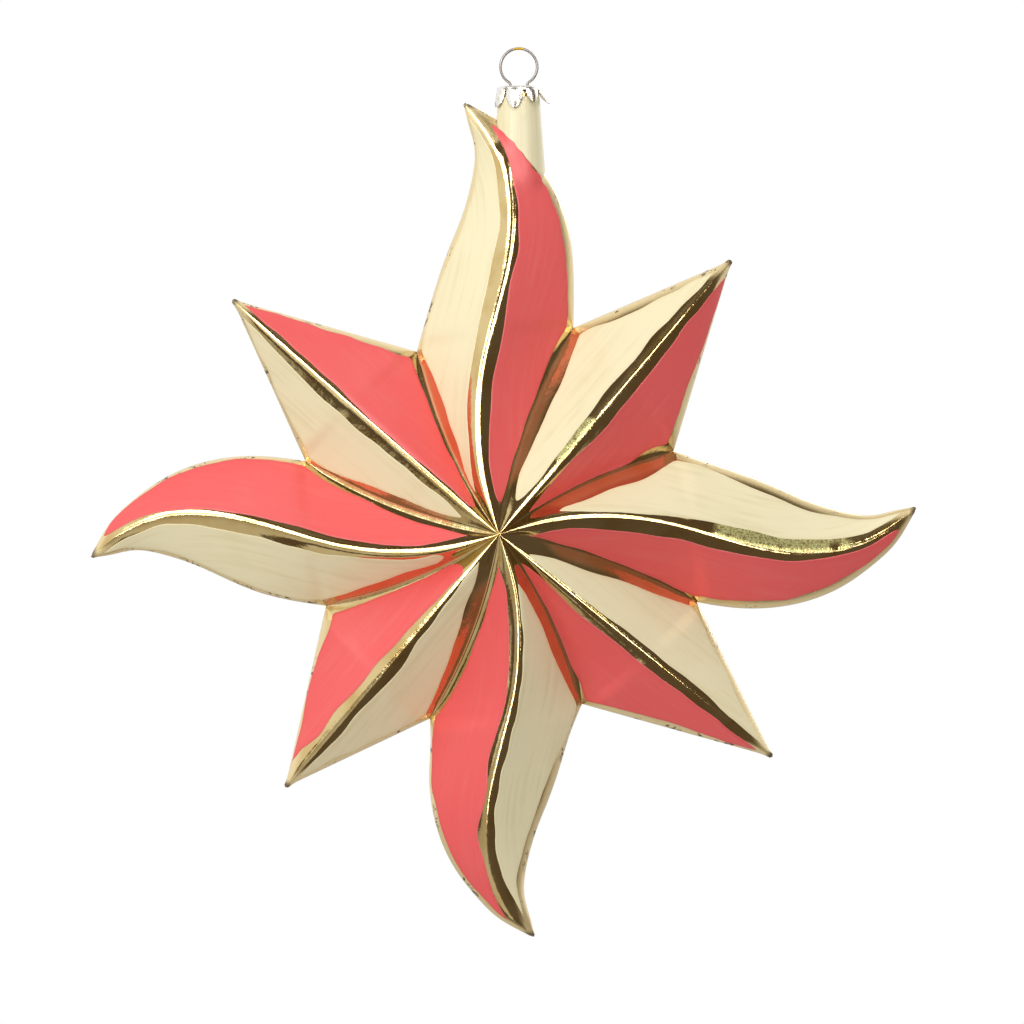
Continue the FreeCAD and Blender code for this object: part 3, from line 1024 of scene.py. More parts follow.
@dataclass(frozen=True)
class SilverPlate(Finish):
    """Bright thin plated sheet of the cap, a little tarnished and scratched."""

    name: str = "silver_plate"
    bright: Colour = linear(240, 238, 232)
    tarnish: Colour = linear(196, 184, 160)
    roughness: float = 0.26
    scratch_roughness: float = 0.14

    def _sockets(self, nodes: NodeTree) -> dict:
        """Tarnish in clouds, fine scratches and small dents.

        Args:
            nodes: The tree to build in.

        Returns:
            Sockets of the shader.
        """
        own = nodes.place()
        cloud = nodes.noise(own, scale=0.5, detail=4.0, rough=0.6)
        scratches = nodes.noise(nodes.place((6.0, 6.0, 0.6)), scale=0.9, detail=3.0)
        dents = nodes.bump(nodes.noise(own, scale=0.8), strength=0.4, depth=0.12)
        return {
            "Base Color": nodes.blend(cloud.over(0.5, 0.75), self.bright, self.tarnish),
            "Metallic": 1.0,
            "Roughness": self.roughness + self.scratch_roughness * scratches.over(0.4, 0.8),
            "Normal": nodes.bump(scratches, strength=0.10, depth=0.03, normal=dents),
        }


@dataclass(frozen=True)
class SpringWire(Finish):
    """Drawn spring wire with a yellow stain at the top of the loop."""

    name: str = "spring_wire"
    steel: Colour = linear(150, 142, 136)
    stain: Colour = linear(206, 168, 50)
    stain_foot: float = -0.9
    stain_top: float = 0.0
    roughness: float = 0.30
    patch_roughness: float = 0.18

    def _sockets(self, nodes: NodeTree) -> dict:
        """Stain by height and side, fine draw lines and dull patches.

        Args:
            nodes: The tree to build in.

        Returns:
            Sockets of the shader.
        """
        parts = nodes.add("ShaderNodeSeparateXYZ", None, {0: nodes.place()})
        up = Flow(nodes, parts.outputs["Z"])
        side = Flow(nodes, parts.outputs["X"])
        patches = nodes.noise(nodes.place(), scale=0.9, detail=3.0)
        near_top = up.over(self.stain_foot, self.stain_top)
        spot = near_top * (1 - (side * side + patches).over(0.9, 2.4))
        lines = nodes.noise(nodes.place((4.0, 4.0, 4.0)), scale=1.0)
        return {
            "Base Color": nodes.blend(spot, self.steel, self.stain),
            "Metallic": 1.0,
            "Roughness": self.roughness + self.patch_roughness * patches,
            "Normal": nodes.bump(lines, strength=0.05, depth=0.02),
        }


@dataclass
class StarGlass:
    """The blown glass: one closed surface for the star and one for the neck. Sizes in mm."""

    rays: list[Ray]
    neck: NeckForm
    finish: bpy.types.Material
    inner_rows: int = 46
    outer_rows: int = 62
    columns: int = 20
    inner_power: float = 1.15
    outer_crowding: float = 0.5
    dale_clear: float = 4.0
    dale_start: float = 0.07
    dale_fade: float = 0.12
    neck_columns: int = 72
    outside_rows: int = 40
    lip_rows: int = 9
    inside_rows: int = 24
    root_depth: float = 6.0
    root_floor: float = 4.0
    lip_height: float = 0.4
    tuck: float = 0.25
    tuck_fade: float = 0.8

    def build(self) -> None:
        """Build and place both surfaces."""
        sheet = Sheet()
        for ray in self.rays:
            for side in Side:
                self._add_slope(sheet, ray, side)
        star = sheet.build("star_glass")
        place_piece(star, Body.STAR, "gold_glass", self.finish, "glass_body")
        neck = self._neck_sheet().build("neck_glass")
        place_piece(neck, Body.STAR, "gold_glass", self.finish)

    def _add_slope(self, sheet: Sheet, ray: Ray, side: Side) -> None:
        """Add one slope of the front and its mirror image at the back.

        Rows are closer near the centre, the notch and the tip, and columns near the ridge
        and the border. The points carry their distances from the rim, from the valley where
        coral faces the slope, and from the tip, and which side they are on.

        Args:
            sheet: Gathers the mesh.
            ray: The ray.
            side: Its slope.
        """
        inner = ray.split * np.linspace(0, 1, self.inner_rows) ** self.inner_power
        steps = eased_steps(self.outer_rows, self.outer_crowding)
        along = np.concatenate([inner, (ray.split + (1 - ray.split) * steps)[1:]])
        across = np.broadcast_to(eased_steps(self.columns), (len(along), self.columns))
        front = ray.slope(side, along, across)
        width = ray.width(side, along)[:, None]
        place = along[:, None]
        aside = width * (1 - across)
        at_valley = (place <= ray.split) & (side is Side.LEFT)
        near_middle = self.dale_clear * (1 - smooth((place - self.dale_start) / self.dale_fade))
        values = {
            "rim": np.where(place > ray.split, aside, FAR),
            "dale": np.where(at_valley, aside + near_middle, FAR),
            "cream_side": np.full(aside.shape, 1.0 if side is Side.LEFT else 0.0),
            "tip": np.broadcast_to(ray.length * (1 - place), aside.shape),
        }
        sheet.add_grid(front, **values)
        sheet.add_grid(front * np.array([1, -1, 1]), flip=True, **values)

    def _neck_sheet(self) -> Sheet:
        """Neck as a closed turned form with an open mouth.

        The profile runs from the foot's pole up the outside, round the lip and down the
        inside to the inner pole. It is carried round the axis, and where it lies inside the
        ray it is tucked under the ray's own surface.

        Returns:
            The gathered mesh.
        """
        form = self.neck
        foot = form.rim_height - form.length - self.root_depth
        floor = foot + self.root_floor
        mouth = form.rim_height - self.lip_height
        outside = np.linspace(foot, mouth, self.outside_rows)
        lip = np.linspace(0, math.pi, self.lip_rows)
        lip_radius = form.top_radius - form.wall / 2 + np.cos(lip) * form.wall / 2
        inside = np.linspace(mouth, floor, self.inside_rows)
        radius = np.concatenate([[0.0], form.radius(outside), lip_radius,
                                 form.radius(inside) - form.wall, [0.0]])
        height = np.concatenate([[foot], outside, mouth + np.sin(lip) * self.lip_height,
                                 inside, [floor]])
        turn = np.linspace(0, CIRCLE, self.neck_columns, endpoint=False)
        radius, turn = np.meshgrid(radius, turn, indexing="ij")
        height = np.broadcast_to(height[:, None], radius.shape)
        ray_edge = neck_foot(self.rays[0], radius * np.sin(turn))
        under = smooth((ray_edge - height) / self.tuck_fade)
        radius = np.where(radius > 0, radius - self.tuck * under, 0.0)
        sheet = Sheet()
        far = np.full(radius.shape, FAR)
        sheet.add_grid(turned(radius, turn, height), wrap=True, rim=far, dale=far,
                       cream_side=0 * far, tip=far)
        return sheet


def neck_foot(ray: Ray, x: Array) -> Array:
    """Height at which the ray's outline crosses the neck at a distance from its axis."""
    places = np.linspace(ray.split, 1.0, OUTLINE_POINTS)
    outline = ray.outlines[Side.RIGHT].at(places)[::-1]
    return np.interp(x, outline[:, 0], outline[:, 1])


@dataclass
class LacquerWork:
    """All fields of lacquer, front and back. Sizes in mm."""

    rays: list[Ray]
    coral: bpy.types.Material
    cream: bpy.types.Material
    thickness: float = 0.10
    drape: float = 0.06
    drape_reach: float = 0.5
    bedding: float = 0.06
    edge_width: float = 0.28
    rows: int = 110
    columns: int = 18
    crowding: float = 0.4
    start_length: float = 2.6
    stop_length: float = 2.2
    # Least width of a slope, of a strip, and of a field as a share, and a band's largest share
    least_width: float = 1e-3
    least_strip: float = 0.05
    least_share: float = 0.01
    most_share: float = 0.98
    # The hand's wobble, and the usual lengths of its long and fine ripples on either border
    wobble: float = 0.13
    fine_share: float = 0.12
    calm_width: float = 0.5
    band_ripples: tuple[float, float] = (11.0, 2.6)
    strip_ripples: tuple[float, float] = (10.0, 2.4)
    # The rougher border beside the neck: its ripple, and the share where it starts and grows
    neck_wobble: float = 0.22
    neck_ripple: float = 3.4
    neck_start: float = 0.72
    neck_growth: float = 0.06
    # First seed, and how far apart the seeds of the back, strip, neck and fine ripples are
    first_seed: int = 20
    back_seed: int = 100
    strip_seed: int = 7
    neck_seed: int = 9
    fine_seed: int = 50
    brush_step: float = 31.0

    def build(self) -> None:
        """Build and place every film."""
        kinds = (("coral", Side.RIGHT, CORAL_FIELDS, self.coral),
                 ("cream", Side.LEFT, CREAM_FIELDS, self.cream))
        for number, ray in enumerate(self.rays):
            for colour, side, fields, finish in kinds:
                limits = fields[ray.layout.name]
                seed = self.first_seed + number * len(Side) + (side is Side.LEFT)
                for face in Face:
                    at_back = face is Face.BACK
                    node = f"{colour}_{'back' if at_back else 'front'}_{ray.layout.name}"
                    sheet = self._film(ray, side, limits, face, seed + self.back_seed * at_back)
                    piece = sheet.build("lacquer_" + node)
                    place_piece(piece, Body.STAR, colour + "_lacquer", finish, node)

    def _film(self, ray: Ray, side: Side, limits: FieldLimits, face: Face, seed: int) -> Sheet:
        """One film: a top that lies on the slope and a bottom bedded under it.

        The film spans from the band to the strip and narrows to a rounded end: its width is
        times the root of one less the square of what is left of the end's length. Its
        thickness rises from its edge in a quarter circle. Seen from the back it is mirrored.

        Args:
            ray: The ray.
            side: Its slope.
            limits: Borders of the field.
            face: Front or back.
            seed: Picks the wobble.

        Returns:
            The gathered mesh.
        """
        steps = eased_steps(self.rows, self.crowding)
        along = limits.start + (limits.stop - limits.start) * steps
        width = np.maximum(ray.width(side, along), self.least_width)
        run = along * ray.length
        low, high = self._borders(ray, side, limits, along, width, seed)
        narrow = (rounded(1 - np.clip((run - run[0]) / self.start_length, 0, 1))
                  * rounded(1 - np.clip((run[-1] - run) / self.stop_length, 0, 1)))
        half = (high - low) / 2 * narrow
        spread = -np.cos(np.linspace(0, math.pi, self.columns))
        across = ((low + high) / 2)[:, None] + half[:, None] * spread[None, :]
        base = ray.slope(side, along, across)
        normals = surface_normals(base)
        normals = normals * np.where(normals[..., 1:2] > 0, -1, 1)
        away = (half * width)[:, None] * (1 - np.abs(spread))[None, :]
        lift = (self.thickness + self._drape(ray, side, base)) * rounded(
            1 - np.clip(away / self.edge_width, 0, 1))
        top = base + normals * lift[..., None]
        bottom = base - normals * self.bedding
        stroke = np.stack([np.broadcast_to(run[:, None], away.shape),
                           across * width[:, None] + seed * self.brush_step,
                           np.zeros(away.shape)], axis=-1)
        sign = np.array([1, face.value * Face.FRONT.value, 1])
        return closed_film(top * sign, bottom * sign, away, stroke)

    def _borders(self, ray: Ray, side: Side, limits: FieldLimits, along: Array, width: Array,
                 seed: int) -> tuple[Array, Array]:
        """Where a field begins and ends across its slope, with a hand's wobble.

        The wobble is calm where the gold beside the field is narrow, and the strip beside the
        neck has a ripple more.

        Args:
            ray: The ray.
            side: Its slope.
            limits: Borders of the field.
            along: Shares of the ray's length.
            width: Plan width of the slope there.
            seed: Picks the wobble.

        Returns:
            The shares of the slope's width at both borders.
        """
        run = along * ray.length
        band = SmoothCurve(FIELD_PLACE_SHARES, limits.band).at(along)[:, 0]
        strip = SmoothCurve(FIELD_PLACE_SHARES, limits.strip).at(along)[:, 0]
        wobble = self.wobble * np.minimum(1.0, np.minimum(band, strip) / self.calm_width)
        band = band + wobble * self._ripples(run, seed, self.band_ripples)
        strip = strip + wobble * self._ripples(run, seed + self.strip_seed, self.strip_ripples)
        if ray.neck and side is Side.RIGHT:
            rough = self.neck_wobble * ripple(run, seed + self.neck_seed, self.neck_ripple)
            strip = strip + rough * smooth((along - self.neck_start) / self.neck_growth)
        low = np.clip(band / width, 0.0, self.most_share)
        high = 1 - np.maximum(strip, self.least_strip) / width
        return low, np.maximum(high, low + self.least_share)

    def _ripples(self, run: Array, seed: int, lengths: tuple[float, float]) -> Array:
        """A long ripple and a fine, weaker one on it."""
        fine = ripple(run, seed + self.fine_seed, lengths[1])
        return ripple(run, seed, lengths[0]) + self.fine_share * fine

    def _drape(self, ray: Ray, side: Side, base: Array) -> Array:
        """Extra lift where the coral passes over the sleeve on the neck."""
        if not ray.neck or side is Side.LEFT:
            return np.zeros(base.shape[:2])
        tube = ray.neck.front(base[..., 0], base[..., 2])
        return self.drape * smooth(1 - np.abs(-base[..., 1] - tube) / self.drape_reach)


@dataclass
class NeckSleeve:
    """Cream lacquer round the neck, from under the cap down to the coral. Sizes in mm."""

    ray: Ray
    neck: NeckForm
    finish: bpy.types.Material
    top: float = -10.4
    outline_radius: float = 5.2
    overlap: float = 2.6
    edge_width: float = 0.4
    edge_lift: float = 0.02
    thickness: float = 0.05
    bedding: float = 0.05
    columns: int = 96
    rows: int = 60
    brush_radius: float = 5.0
    edge_value: float = 2.0

    def build(self) -> None:
        """Build and place the sleeve: a closed tube whose foot follows the ray's outline."""
        turn = np.linspace(0, CIRCLE, self.columns, endpoint=False)
        foot = neck_foot(self.ray, self.outline_radius * np.sin(turn)) - self.overlap
        share = np.linspace(0, 1, self.rows)[:, None]
        height = self.top + (foot[None, :] - self.top) * share
        away = np.minimum(self.top - height, height - foot[None, :])
        rise = np.clip(away / self.edge_width, 0, 1)
        radius = self.neck.radius(height)
        outside = turned(radius + self.edge_lift + self.thickness * rise, turn, height)
        inside = turned(radius - self.bedding, turn, height)
        stroke = np.stack([height, np.broadcast_to(turn * self.brush_radius, height.shape),
                           0 * height], axis=-1)
        even = np.full(height.shape, self.edge_value)
        piece = closed_film(outside, inside, even, stroke, wrap=True).build("lacquer_neck")
        place_piece(piece, Body.STAR, "cream_lacquer", self.finish, "neck_lacquer")


def closed_film(top: Array, bottom: Array, away: Array, stroke: Array,
                wrap: bool = False) -> Sheet:
    """Join a top and a bottom grid by strips along their open sides.

    Args:
        top: Points of the top.
        bottom: Points of the bottom.
        away: Distance of each point from the film's edge.
        stroke: Brush coordinates of each point.
        wrap: Whether each row closes on itself, as in a tube.

    Returns:
        The gathered mesh.
    """
    sheet = Sheet()
    sheet.add_grid(top, wrap=wrap, edge=away, stroke=stroke)
    sheet.add_grid(bottom, wrap=wrap, flip=True, edge=away, stroke=stroke)
    sides = (np.s_[0], np.s_[-1], np.s_[:, 0], np.s_[:, -1])
    for cut in sides[:2] if wrap else sides:
        sheet.add_grid(np.stack([top[cut], bottom[cut]]), wrap=wrap,
                       edge=np.stack([away[cut]] * 2), stroke=np.stack([stroke[cut]] * 2))
    return sheet


@dataclass(frozen=True)
class Petal:
    """One petal of the cap's skirt: its turn in degrees, drop, flare and width share."""

    turn: float
    drop: float
    flare: float
    width_share: float


@dataclass
class CrownCap:
    """Crimped cap: a dome, a fluted collar and seven petals of thin sheet. Sizes in mm."""

    finish: bpy.types.Material
    radius: float = 4.77
    dome_top: float = -7.85
    shoulder: float = -8.5
    collar_end: float = -8.95
    sheet: float = 0.2
    flute: float = 0.16
    bulge: float = 0.3
    hole_radius: float = 0.46
    hole_spacing: float = 3.6
    hole_sides: int = 24
    punch_foot: float = -11.0
    punch_top: float = -6.0
    dome_rows: int = 14
    collar_rows: int = 7
    petal_rows: int = 14
    # Powers that shape the dome's height and reach, a petal's outline and its flare
    dome_power: float = 0.8
    reach_power: float = 0.9
    share_power: float = 2.4
    outline_power: float = 0.75
    flare_power: float = 1.5
    bend_share: float = 0.75
    petals: tuple[Petal, ...] = (
        Petal(-12.3, 4.1, 0.32, 0.94), Petal(39.1, 2.8, 0.45, 0.74),
        Petal(90.6, 2.75, 1.8, 0.8), Petal(142.0, 3.6, 0.5, 0.86),
        Petal(193.4, 3.9, 0.4, 0.9), Petal(244.9, 3.4, 0.7, 0.84), Petal(296.3, 3.8, 0.4, 0.9),
    )
    petal_columns: int = 20
    gap_columns: int = 4

    @property
    def pitch(self) -> float:
        """Turn from one petal to the next."""
        return CIRCLE / len(self.petals)

    def build(self) -> None:
        """Build and place the cap."""
        sheet = Sheet()
        turns = self._turns()
        sheet.add_grid(self._crown(turns), wrap=True)
        for number, petal in enumerate(self.petals):
            sheet.add_grid(self._petal(turns, number, petal))
        cap = sheet.build("crown_cap_sheet")
        face_up(cap.data)
        cap = self._pierced(cap)
        place_piece(cap, Body.CAP, "cap_plate", self.finish, "crown_cap")

    def _turns(self) -> Array:
        """Angles of the collar's columns: each petal's own, then the gap after it."""
        parts = []
        for petal in self.petals:
            middle = math.radians(petal.turn)
            half = self.pitch / 2 * petal.width_share
            following = middle + self.pitch - half
            parts.append(np.linspace(middle - half, middle + half, self.petal_columns))
            parts.append(np.linspace(middle + half, following, self.gap_columns + 2)[1:-1])
        return np.concatenate(parts)

    def _surface(self, turn: Array, height: Array) -> Array:
        """Points of the skirt at some turns and heights.

        The radius is the collar's, plus a cosine flute that grows below the shoulder, plus,
        eased round each petal's middle, its flare, which grows to the tip, and its bulge,
        which is half a sine wave from shoulder to tip.

        Args:
            turn: Angles from the front.
            height: Heights below the shoulder.

        Returns:
            The points.
        """
        below = np.clip((self.shoulder - height) / (self.shoulder - self.collar_end), 0, None)
        flutes = np.cos(len(self.petals) * (turn - math.radians(self.petals[0].turn)))
        radius = self.radius + self.flute * flutes * smooth(below)
        for petal in self.petals:
            away = (turn - math.radians(petal.turn) + math.pi) % CIRCLE - math.pi
            bump = smooth(1 - np.abs(away) / (self.pitch * self.bend_share))
            whole = self.shoulder - self.collar_end + petal.drop
            share = np.clip((self.shoulder - height) / whole, 0, 1)
            radius = radius + bump * (petal.flare * share**self.flare_power
                                      + self.bulge * np.sin(math.pi * share))
        return turned(radius, turn, height)

    def _crown(self, turns: Array) -> Array:
        """Dome and collar: powers of a cosine and a sine, then the fluted collar."""
        tilt = np.linspace(0, math.pi / 2, self.dome_rows)[:, None]
        rise = (self.dome_top - self.shoulder) * np.cos(tilt) ** self.dome_power
        reach = np.sin(tilt) ** self.reach_power * self.radius
        dome = turned(reach, turns[None, :], self.shoulder + rise)
        levels = np.linspace(self.shoulder, self.collar_end, self.collar_rows)[1:, None]
        level, turn = np.broadcast_arrays(levels, turns[None, :])
        return np.concatenate([dome, self._surface(turn, level)])

    def _petal(self, turns: Array, number: int, petal: Petal) -> Array:
        """One petal: its half width is one less a power of the share, to a power under one.

        Args:
            turns: Angles of the collar's columns.
            number: Number of the petal.
            petal: The petal.

        Returns:
            Grid of points from the collar to the tip.
        """
        first = number * (self.petal_columns + self.gap_columns)
        own = turns[first:first + self.petal_columns]
        middle = math.radians(petal.turn)
        share = np.linspace(0, 1, self.petal_rows)[:, None]
        narrow = (1 - share**self.share_power) ** self.outline_power
        turn = middle + (own[None, :] - middle) * narrow
        height = self.collar_end - petal.drop * share + 0 * turn
        return self._surface(turn, height)

    def _pierced(self, cap: bpy.types.Object) -> bpy.types.Object:
        """Give the sheet its thickness and cut the two holes for the wire.

        Args:
            cap: The thin surface.

        Returns:
            The finished cap, with its modifiers applied.
        """
        wall = cap.modifiers.new("wall", "SOLIDIFY")
        wall.thickness = self.sheet * MM
        wall.offset = -1
        sheet = Sheet()
        turn = np.linspace(0, CIRCLE, self.hole_sides, endpoint=False)
        reach = np.array([0.0, 1.0, 1.0, 0.0])[:, None] * self.hole_radius
        height = np.repeat([self.punch_foot, self.punch_top], 2)[:, None] + 0 * turn
        for side in Side:
            x = side.value * self.hole_spacing / 2 + reach * np.cos(turn)
            sheet.add_grid(np.stack([x, reach * np.sin(turn), height], axis=-1), wrap=True)
        punch = sheet.build("punch")
        cut = cap.modifiers.new("holes", "BOOLEAN")
        cut.operation = "DIFFERENCE"
        cut.object = punch
        graph = bpy.context.evaluated_depsgraph_get()
        mesh = bpy.data.meshes.new_from_object(cap.evaluated_get(graph))
        cap.modifiers.clear()
        cap.data = mesh
        bpy.data.objects.remove(punch)
        return cap


def face_up(mesh: bpy.types.Mesh) -> None:
    """Turn an open sheet over if its topmost face looks down."""
    top = max(mesh.polygons, key=lambda polygon: polygon.center.z)
    if top.normal.z < 0:
        mesh.flip_normals()


@dataclass
class WireLoop:
    """Sprung wire: a round loop and two legs that reach into the neck. Sizes in mm."""

    finish: bpy.types.Material
    diameter: float = 0.6
    inner_radius: float = 3.7
    leg_spacing: float = 3.6
    bend_radius: float = 0.9
    leg_splay: float = 0.6
    leg_reach: float = 12.0
    sides: int = 20
    bend_points: int = 20
    leg_points: int = 24
    loop_points: int = 120

    def build(self) -> None:
        """Build and place the wire."""
        path = self._path()
        ahead = np.gradient(path, axis=0)
        ahead /= np.linalg.norm(ahead, axis=1, keepdims=True)
        side = np.array([0.0, 1.0, 0.0])
        other = np.cross(ahead, side)
        turn = np.linspace(0, CIRCLE, self.sides, endpoint=False)
        size = np.full(len(path), self.diameter / 2)
        size[0] = size[-1] = 0.0
        path[0] = path[1]
        path[-1] = path[-2]
        round_way = (np.cos(turn)[None, :, None] * side
                     + np.sin(turn)[None, :, None] * other[:, None, :])
        tube = path[:, None, :] + size[:, None, None] * round_way
        sheet = Sheet()
        sheet.add_grid(tube, wrap=True)
        wire = sheet.build("wire_loop")
        place_piece(wire, Body.HANGER, "spring_wire", self.finish, "hanger_wire")

    def _path(self) -> Array:
        """Middle line: left leg, bend, loop, bend, right leg.

        The bend touches the loop from outside and the leg's line from inside, so each joins
        the next with no kink.

        Returns:
            Rows of points from the end of the left leg to the end of the right leg.
        """
        ring = self.inner_radius + self.diameter / 2
        middle = -self.inner_radius
        bend_x = self.leg_spacing / 2 + self.bend_radius
        reach = ring + self.bend_radius
        bend_z = middle - math.sqrt(reach**2 - bend_x**2)
        leg_end = np.array([self.leg_spacing / 2 + self.leg_splay, bend_z - self.leg_reach])
        span = leg_end - np.array([bend_x, bend_z])
        touch = math.atan2(span[1], span[0]) - math.acos(self.bend_radius / math.hypot(*span))
        join = math.atan2(middle - bend_z, -bend_x)
        angles = np.linspace(touch % CIRCLE, join, self.bend_points)
        bend = np.column_stack([bend_x + self.bend_radius * np.cos(angles),
                                bend_z + self.bend_radius * np.sin(angles)])
        steps = np.linspace(0, 1, self.leg_points, endpoint=False)[:, None]
        leg = leg_end + (bend[0] - leg_end) * steps
        start = math.atan2(bend_z - middle, bend_x)
        sweep = np.linspace(start, math.pi - start, self.loop_points)[1:-1]
        loop = np.column_stack([ring * np.cos(sweep), middle + ring * np.sin(sweep)])
        right = np.concatenate([leg, bend])
        left = right[::-1] * np.array([-1, 1])
        plan = np.concatenate([right, loop, left])
        return np.column_stack([plan[:, 0], np.zeros(len(plan)), plan[:, 1]])


@dataclass
class Studio:
    """Pale floor, dark glowing sheets that paint dark reflections, lights for the mirror, soft
    lamps and the camera. Metres.
    """

    centre: tuple[float, float, float] = (-0.0015, 0.0, -0.1008)
    distance: float = 1.241
    lens: float = 200.0
    sensor: float = 36.0
    ambient: float = 0.57
    floor_height: float = -1.3
    floor_size: float = 9.0
    floor_colour: Colour = linear(236, 234, 230)
    plain_roughness: float = 0.9
    # A sheet that faces up or down by more than this is laid out along Y
    flat_share: float = 0.9
    # Colour of the dark glowing sheets that only the mirror sees: painted dark reflections of an
    # unlit room
    dark_reflection_colour: tuple[float, float, float] = (0.12, 0.095, 0.075)
    # Turn round the view, and inner and outer angle from it, of the ring light, in degrees
    ring_spans: tuple[tuple[float, float, float], ...] = (
        (-50, 27, 31), (-30, 26, 30), (-17, 24, 27.5), (-8, 27, 30.5), (2, 29.5, 32.5),
        (15, 31, 33.5), (27, 31.5, 34.5), (40, 27.5, 33), (50, 26, 31), (62, 26, 31),
        (75, 23.5, 31), (95, 23, 28), (115, 25, 28), (130, 26, 31), (139, 26.5, 31),
        (166, 25, 30), (178, 28, 33), (190, 32, 34), (205, 32.5, 34.5), (214, 28, 32),
        (240, 27, 31),
    )
    # Turn of each straight strip of light, its inner and outer reach and its half width
    strips: tuple[tuple[float, float, float, float], ...] = (
        (50.0, 0.49, 0.58, 0.66), (230.0, 0.56, 0.67, 0.66), (50.0, 0.58, 0.88, 0.10),
        (321.0, 0.53, 0.73, 0.10), (139.0, 0.55, 0.74, 0.10),
    )
    ring_columns: int = 160
    ring_distance: float = 1.0
    ring_glow: float = 9.0

    def build(self) -> None:
        """Build the whole studio."""
        self._world()
        self._plane("floor", (0, 0, self.floor_height), (0, 0, 1), self.floor_size,
                    self.floor_size, self.floor_colour)
        self._dark_reflection_sheets()
        self._ring_light()
        self._lamps()
        self._camera()

    def _world(self) -> None:
        """White for the camera and for reflections, an even soft light for the rest."""
        world = bpy.data.worlds.new("studio_air")
        world.use_nodes = True
        bpy.context.scene.world = world
        nodes = NodeTree(world.node_tree)
        path = nodes.add("ShaderNodeLightPath")
        seen = Flow(nodes, path.outputs["Is Camera Ray"])
        seen = seen + Flow(nodes, path.outputs["Is Glossy Ray"])
        seen = seen + Flow(nodes, path.outputs["Is Transmission Ray"])
        strength = self.ambient + (1 - self.ambient) * seen.over(0.0, 0.5)
        shade = nodes.add("ShaderNodeBackground", None,
                          {"Color": (1, 1, 1, 1), "Strength": strength})
        nodes.add("ShaderNodeOutputWorld", None, {"Surface": shade.outputs[0]})

    def _plane(self, name: str, middle: Iterable[float], facing: Iterable[float], wide: float,
               tall: float, colour: Colour, glow: float = 0.0) -> bpy.types.Object:
        """Flat stage sheet with a plain finish.

        Args:
            name: Its name.
            middle: Its middle.
            facing: The way it faces.
            wide: Its width.
            tall: Its height.
            colour: Its colour.
            glow: How much of the colour it gives off by itself.

        Returns:
            The sheet, marked as stage.
        """
        way = np.asarray(list(facing), float)
        way /= np.linalg.norm(way)
        flat = abs(way[2]) >= self.flat_share
        right = np.cross((0.0, 1.0, 0.0) if flat else (0.0, 0.0, 1.0), way)
        right /= np.linalg.norm(right)
        up = np.cross(way, right)
        centre = np.asarray(list(middle), float)
        corners = [centre + right * a * wide / 2 + up * b * tall / 2
                   for a, b in ((-1, -1), (1, -1), (1, 1), (-1, 1))]
        mesh = bpy.data.meshes.new(name)
        mesh.from_pydata([tuple(corner) for corner in corners], [], [(0, 1, 2, 3)])
        sheet = new_object(name, mesh)
        sheet.data.materials.append(new_finish(name + "_finish", lambda nodes: {
            "Base Color": colour if glow == 0 else (0.0, 0.0, 0.0, 1.0),
            "Roughness": self.plain_roughness, "Specular IOR Level": 0.0,
            "Emission Color": colour, "Emission Strength": glow}))
        return sheet

    def _mirror_only(self, sheet: bpy.types.Object) -> None:
        """Let only the mirror see a sheet."""
        for way in ("camera", "diffuse", "transmission", "volume_scatter", "shadow"):
            setattr(sheet, "visible_" + way, False)

    def _dark_reflection_sheets(self) -> None:
        """Painted dark reflections: dark glowing sheets round the camera that only the mirror
        sees, with the left side left open.
        """
        dark = (*self.dark_reflection_colour, 1.0)
        dark_sheets = (
            ("dark_reflection_front", (0.45, -1.9, -0.1), (0, 1, 0), 3.1, 3.4),
            ("dark_reflection_right", (1.0, -0.9, -0.1), (-1, 0, 0), 1.96, 2.6),
            ("dark_reflection_top", (0.36, -0.9, 0.62), (0, 0, -1), 1.9, 1.92),
            ("dark_reflection_low", (0.44, -0.8, -0.61), (0, 0, 1), 1.18, 1.66),
            ("dark_reflection_rear", (-0.41, -0.035, -0.61), (0, 0, 1), 0.58, 0.13),
            ("card_far_left", (-1.2, -0.435, -0.45), (1, 0, 0), 0.41, 0.58),
            ("dark_reflection_edge", (-1.2, -0.115, -0.67), (1, 0, 0), 0.23, 0.14),
            ("dark_reflection_left", (-1.35, -1.9, -0.55), (0, 1, 0), 0.5, 0.7),
            ("card_behind", (0.0, 1.9, -0.1), (0, -1, 0), 1.2, 1.2),
        )
        for name, middle, facing, wide, tall in dark_sheets:
            self._mirror_only(self._plane(name, middle, facing, wide, tall, dark, glow=1.0))

    def _ring_light(self) -> None:
        """Ring light round the camera that the mirror sees, and strips that touch it.

        The ring's reach is the tangent of its angles times its distance. A strip lies square
        to its turn.
        """
        spans = np.array(self.ring_spans)
        turn = np.linspace(spans[0, 0], spans[-1, 0], self.ring_columns)
        sheet = Sheet()
        rings = []
        for column in (1, 2):
            reach = np.tan(np.radians(np.interp(turn, spans[:, 0], spans[:, column])))
            rings.append(np.stack([reach * np.cos(np.radians(turn)),
                                   reach * np.sin(np.radians(turn))], axis=-1))
        grids = [np.stack(rings)]
        for angle, inner, outer, half in self.strips:
            out = heading(angle)
            aside = np.array([-out[1], out[0]]) * half
            grids.append(np.array([[out * inner - aside, out * inner + aside],
                                   [out * outer - aside, out * outer + aside]]))
        for grid in grids:
            flat = grid * self.ring_distance
            sheet.add_grid(np.stack([self.centre[0] + flat[..., 0],
                                     np.full(flat.shape[:2], -self.ring_distance),
                                     self.centre[2] + flat[..., 1]], axis=-1) / MM)
        ring = sheet.build("ring_light", merge=False)
        ring.data.materials.append(new_finish("ring_light_finish", lambda nodes: {
            "Base Color": (0.0, 0.0, 0.0, 1.0), "Specular IOR Level": 0.0,
            "Emission Color": (1.0, 0.98, 0.95, 1.0), "Emission Strength": self.ring_glow}))
        self._mirror_only(ring)

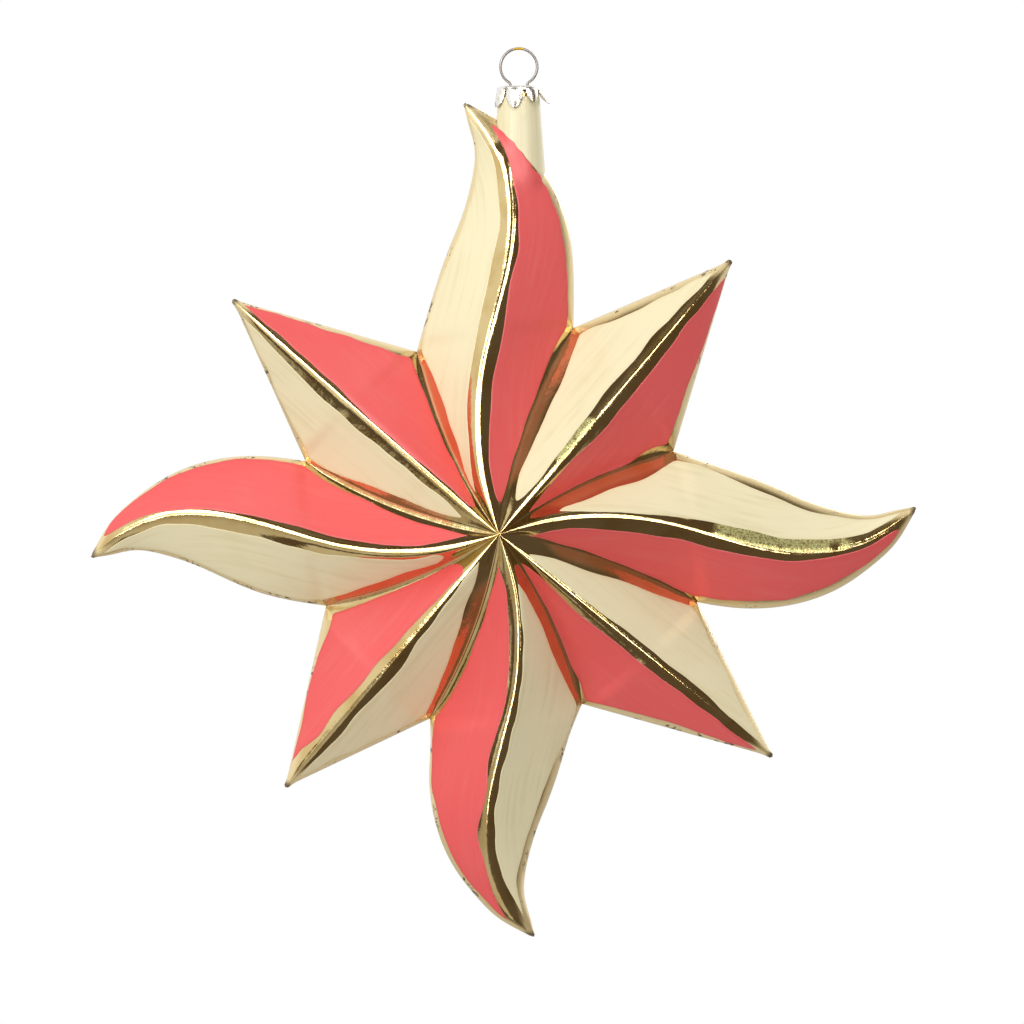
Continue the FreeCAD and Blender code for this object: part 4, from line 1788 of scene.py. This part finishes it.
    def _lamps(self) -> None:
        """Key from the upper left, a weaker fill from above and one from behind."""
        self._lamp("key", (-0.85, -1.0, 0.45), wide=0.5, power=7.0)
        self._lamp("fill", (0.0, -0.6, 0.85), wide=0.6, power=2.9)
        self._lamp("back_light", (0.5, 0.8, 0.4), wide=0.5, power=5.0)

    def _lamp(self, name: str, middle: tuple[float, float, float], wide: float,
              power: float) -> None:
        """Soft square lamp that looks at the star.

        Args:
            name: Its name.
            middle: Its place.
            wide: Its width and height.
            power: Its power in watts.
        """
        data = bpy.data.lights.new(name, "AREA")
        data.shape = "SQUARE"
        data.size = wide
        data.energy = power
        lamp = new_object(name, data)
        lamp.location = middle
        aim = np.asarray(self.centre) - np.asarray(middle)
        lamp.rotation_euler = Vector(aim).to_track_quat("-Z", "Y").to_euler()

    def _camera(self) -> None:
        """Camera straight in front, at the photograph's framing."""
        data = bpy.data.cameras.new("camera")
        data.lens = self.lens
        data.sensor_width = self.sensor
        camera = new_object("camera", data)
        camera.location = (self.centre[0], -self.distance, self.centre[2])
        camera.rotation_euler = (math.pi / 2, 0, 0)
        bpy.context.scene.camera = camera


def main() -> None:
    """Build the star, its lacquer, the cap, the wire and the studio."""
    logging.basicConfig(level=logging.INFO, format="%(message)s")
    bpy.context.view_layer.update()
    scene = bpy.context.scene
    scene.view_settings.view_transform = "Standard"
    neck = NeckForm()
    rays = []
    for number, layout in enumerate(RAY_LAYOUTS):
        rays.append(Ray(layout, RAY_LAYOUTS[number - 1], neck if layout.name == "n" else None))
    gold = GoldMirror().material()
    coral = Lacquer("coral_lacquer", colour=linear(246, 81, 80), thin=linear(245, 108, 103),
                    thick=linear(222, 64, 64), streak=0.35, roughness=0.55, coat=0.2,
                    gloss=0.9).material()
    cream = Lacquer("cream_lacquer", colour=linear(247, 236, 194), thin=linear(222, 206, 152),
                    thick=linear(236, 220, 168), streak=0.38, roughness=0.45, coat=0.15,
                    gloss=0.5).material()
    StarGlass(rays, neck, gold).build()
    LacquerWork(rays, coral, cream).build()
    NeckSleeve(rays[0], neck, cream).build()
    CrownCap(SilverPlate().material()).build()
    WireLoop(SpringWire().material()).build()
    Studio().build()


if __name__ == "__main__":
    main()
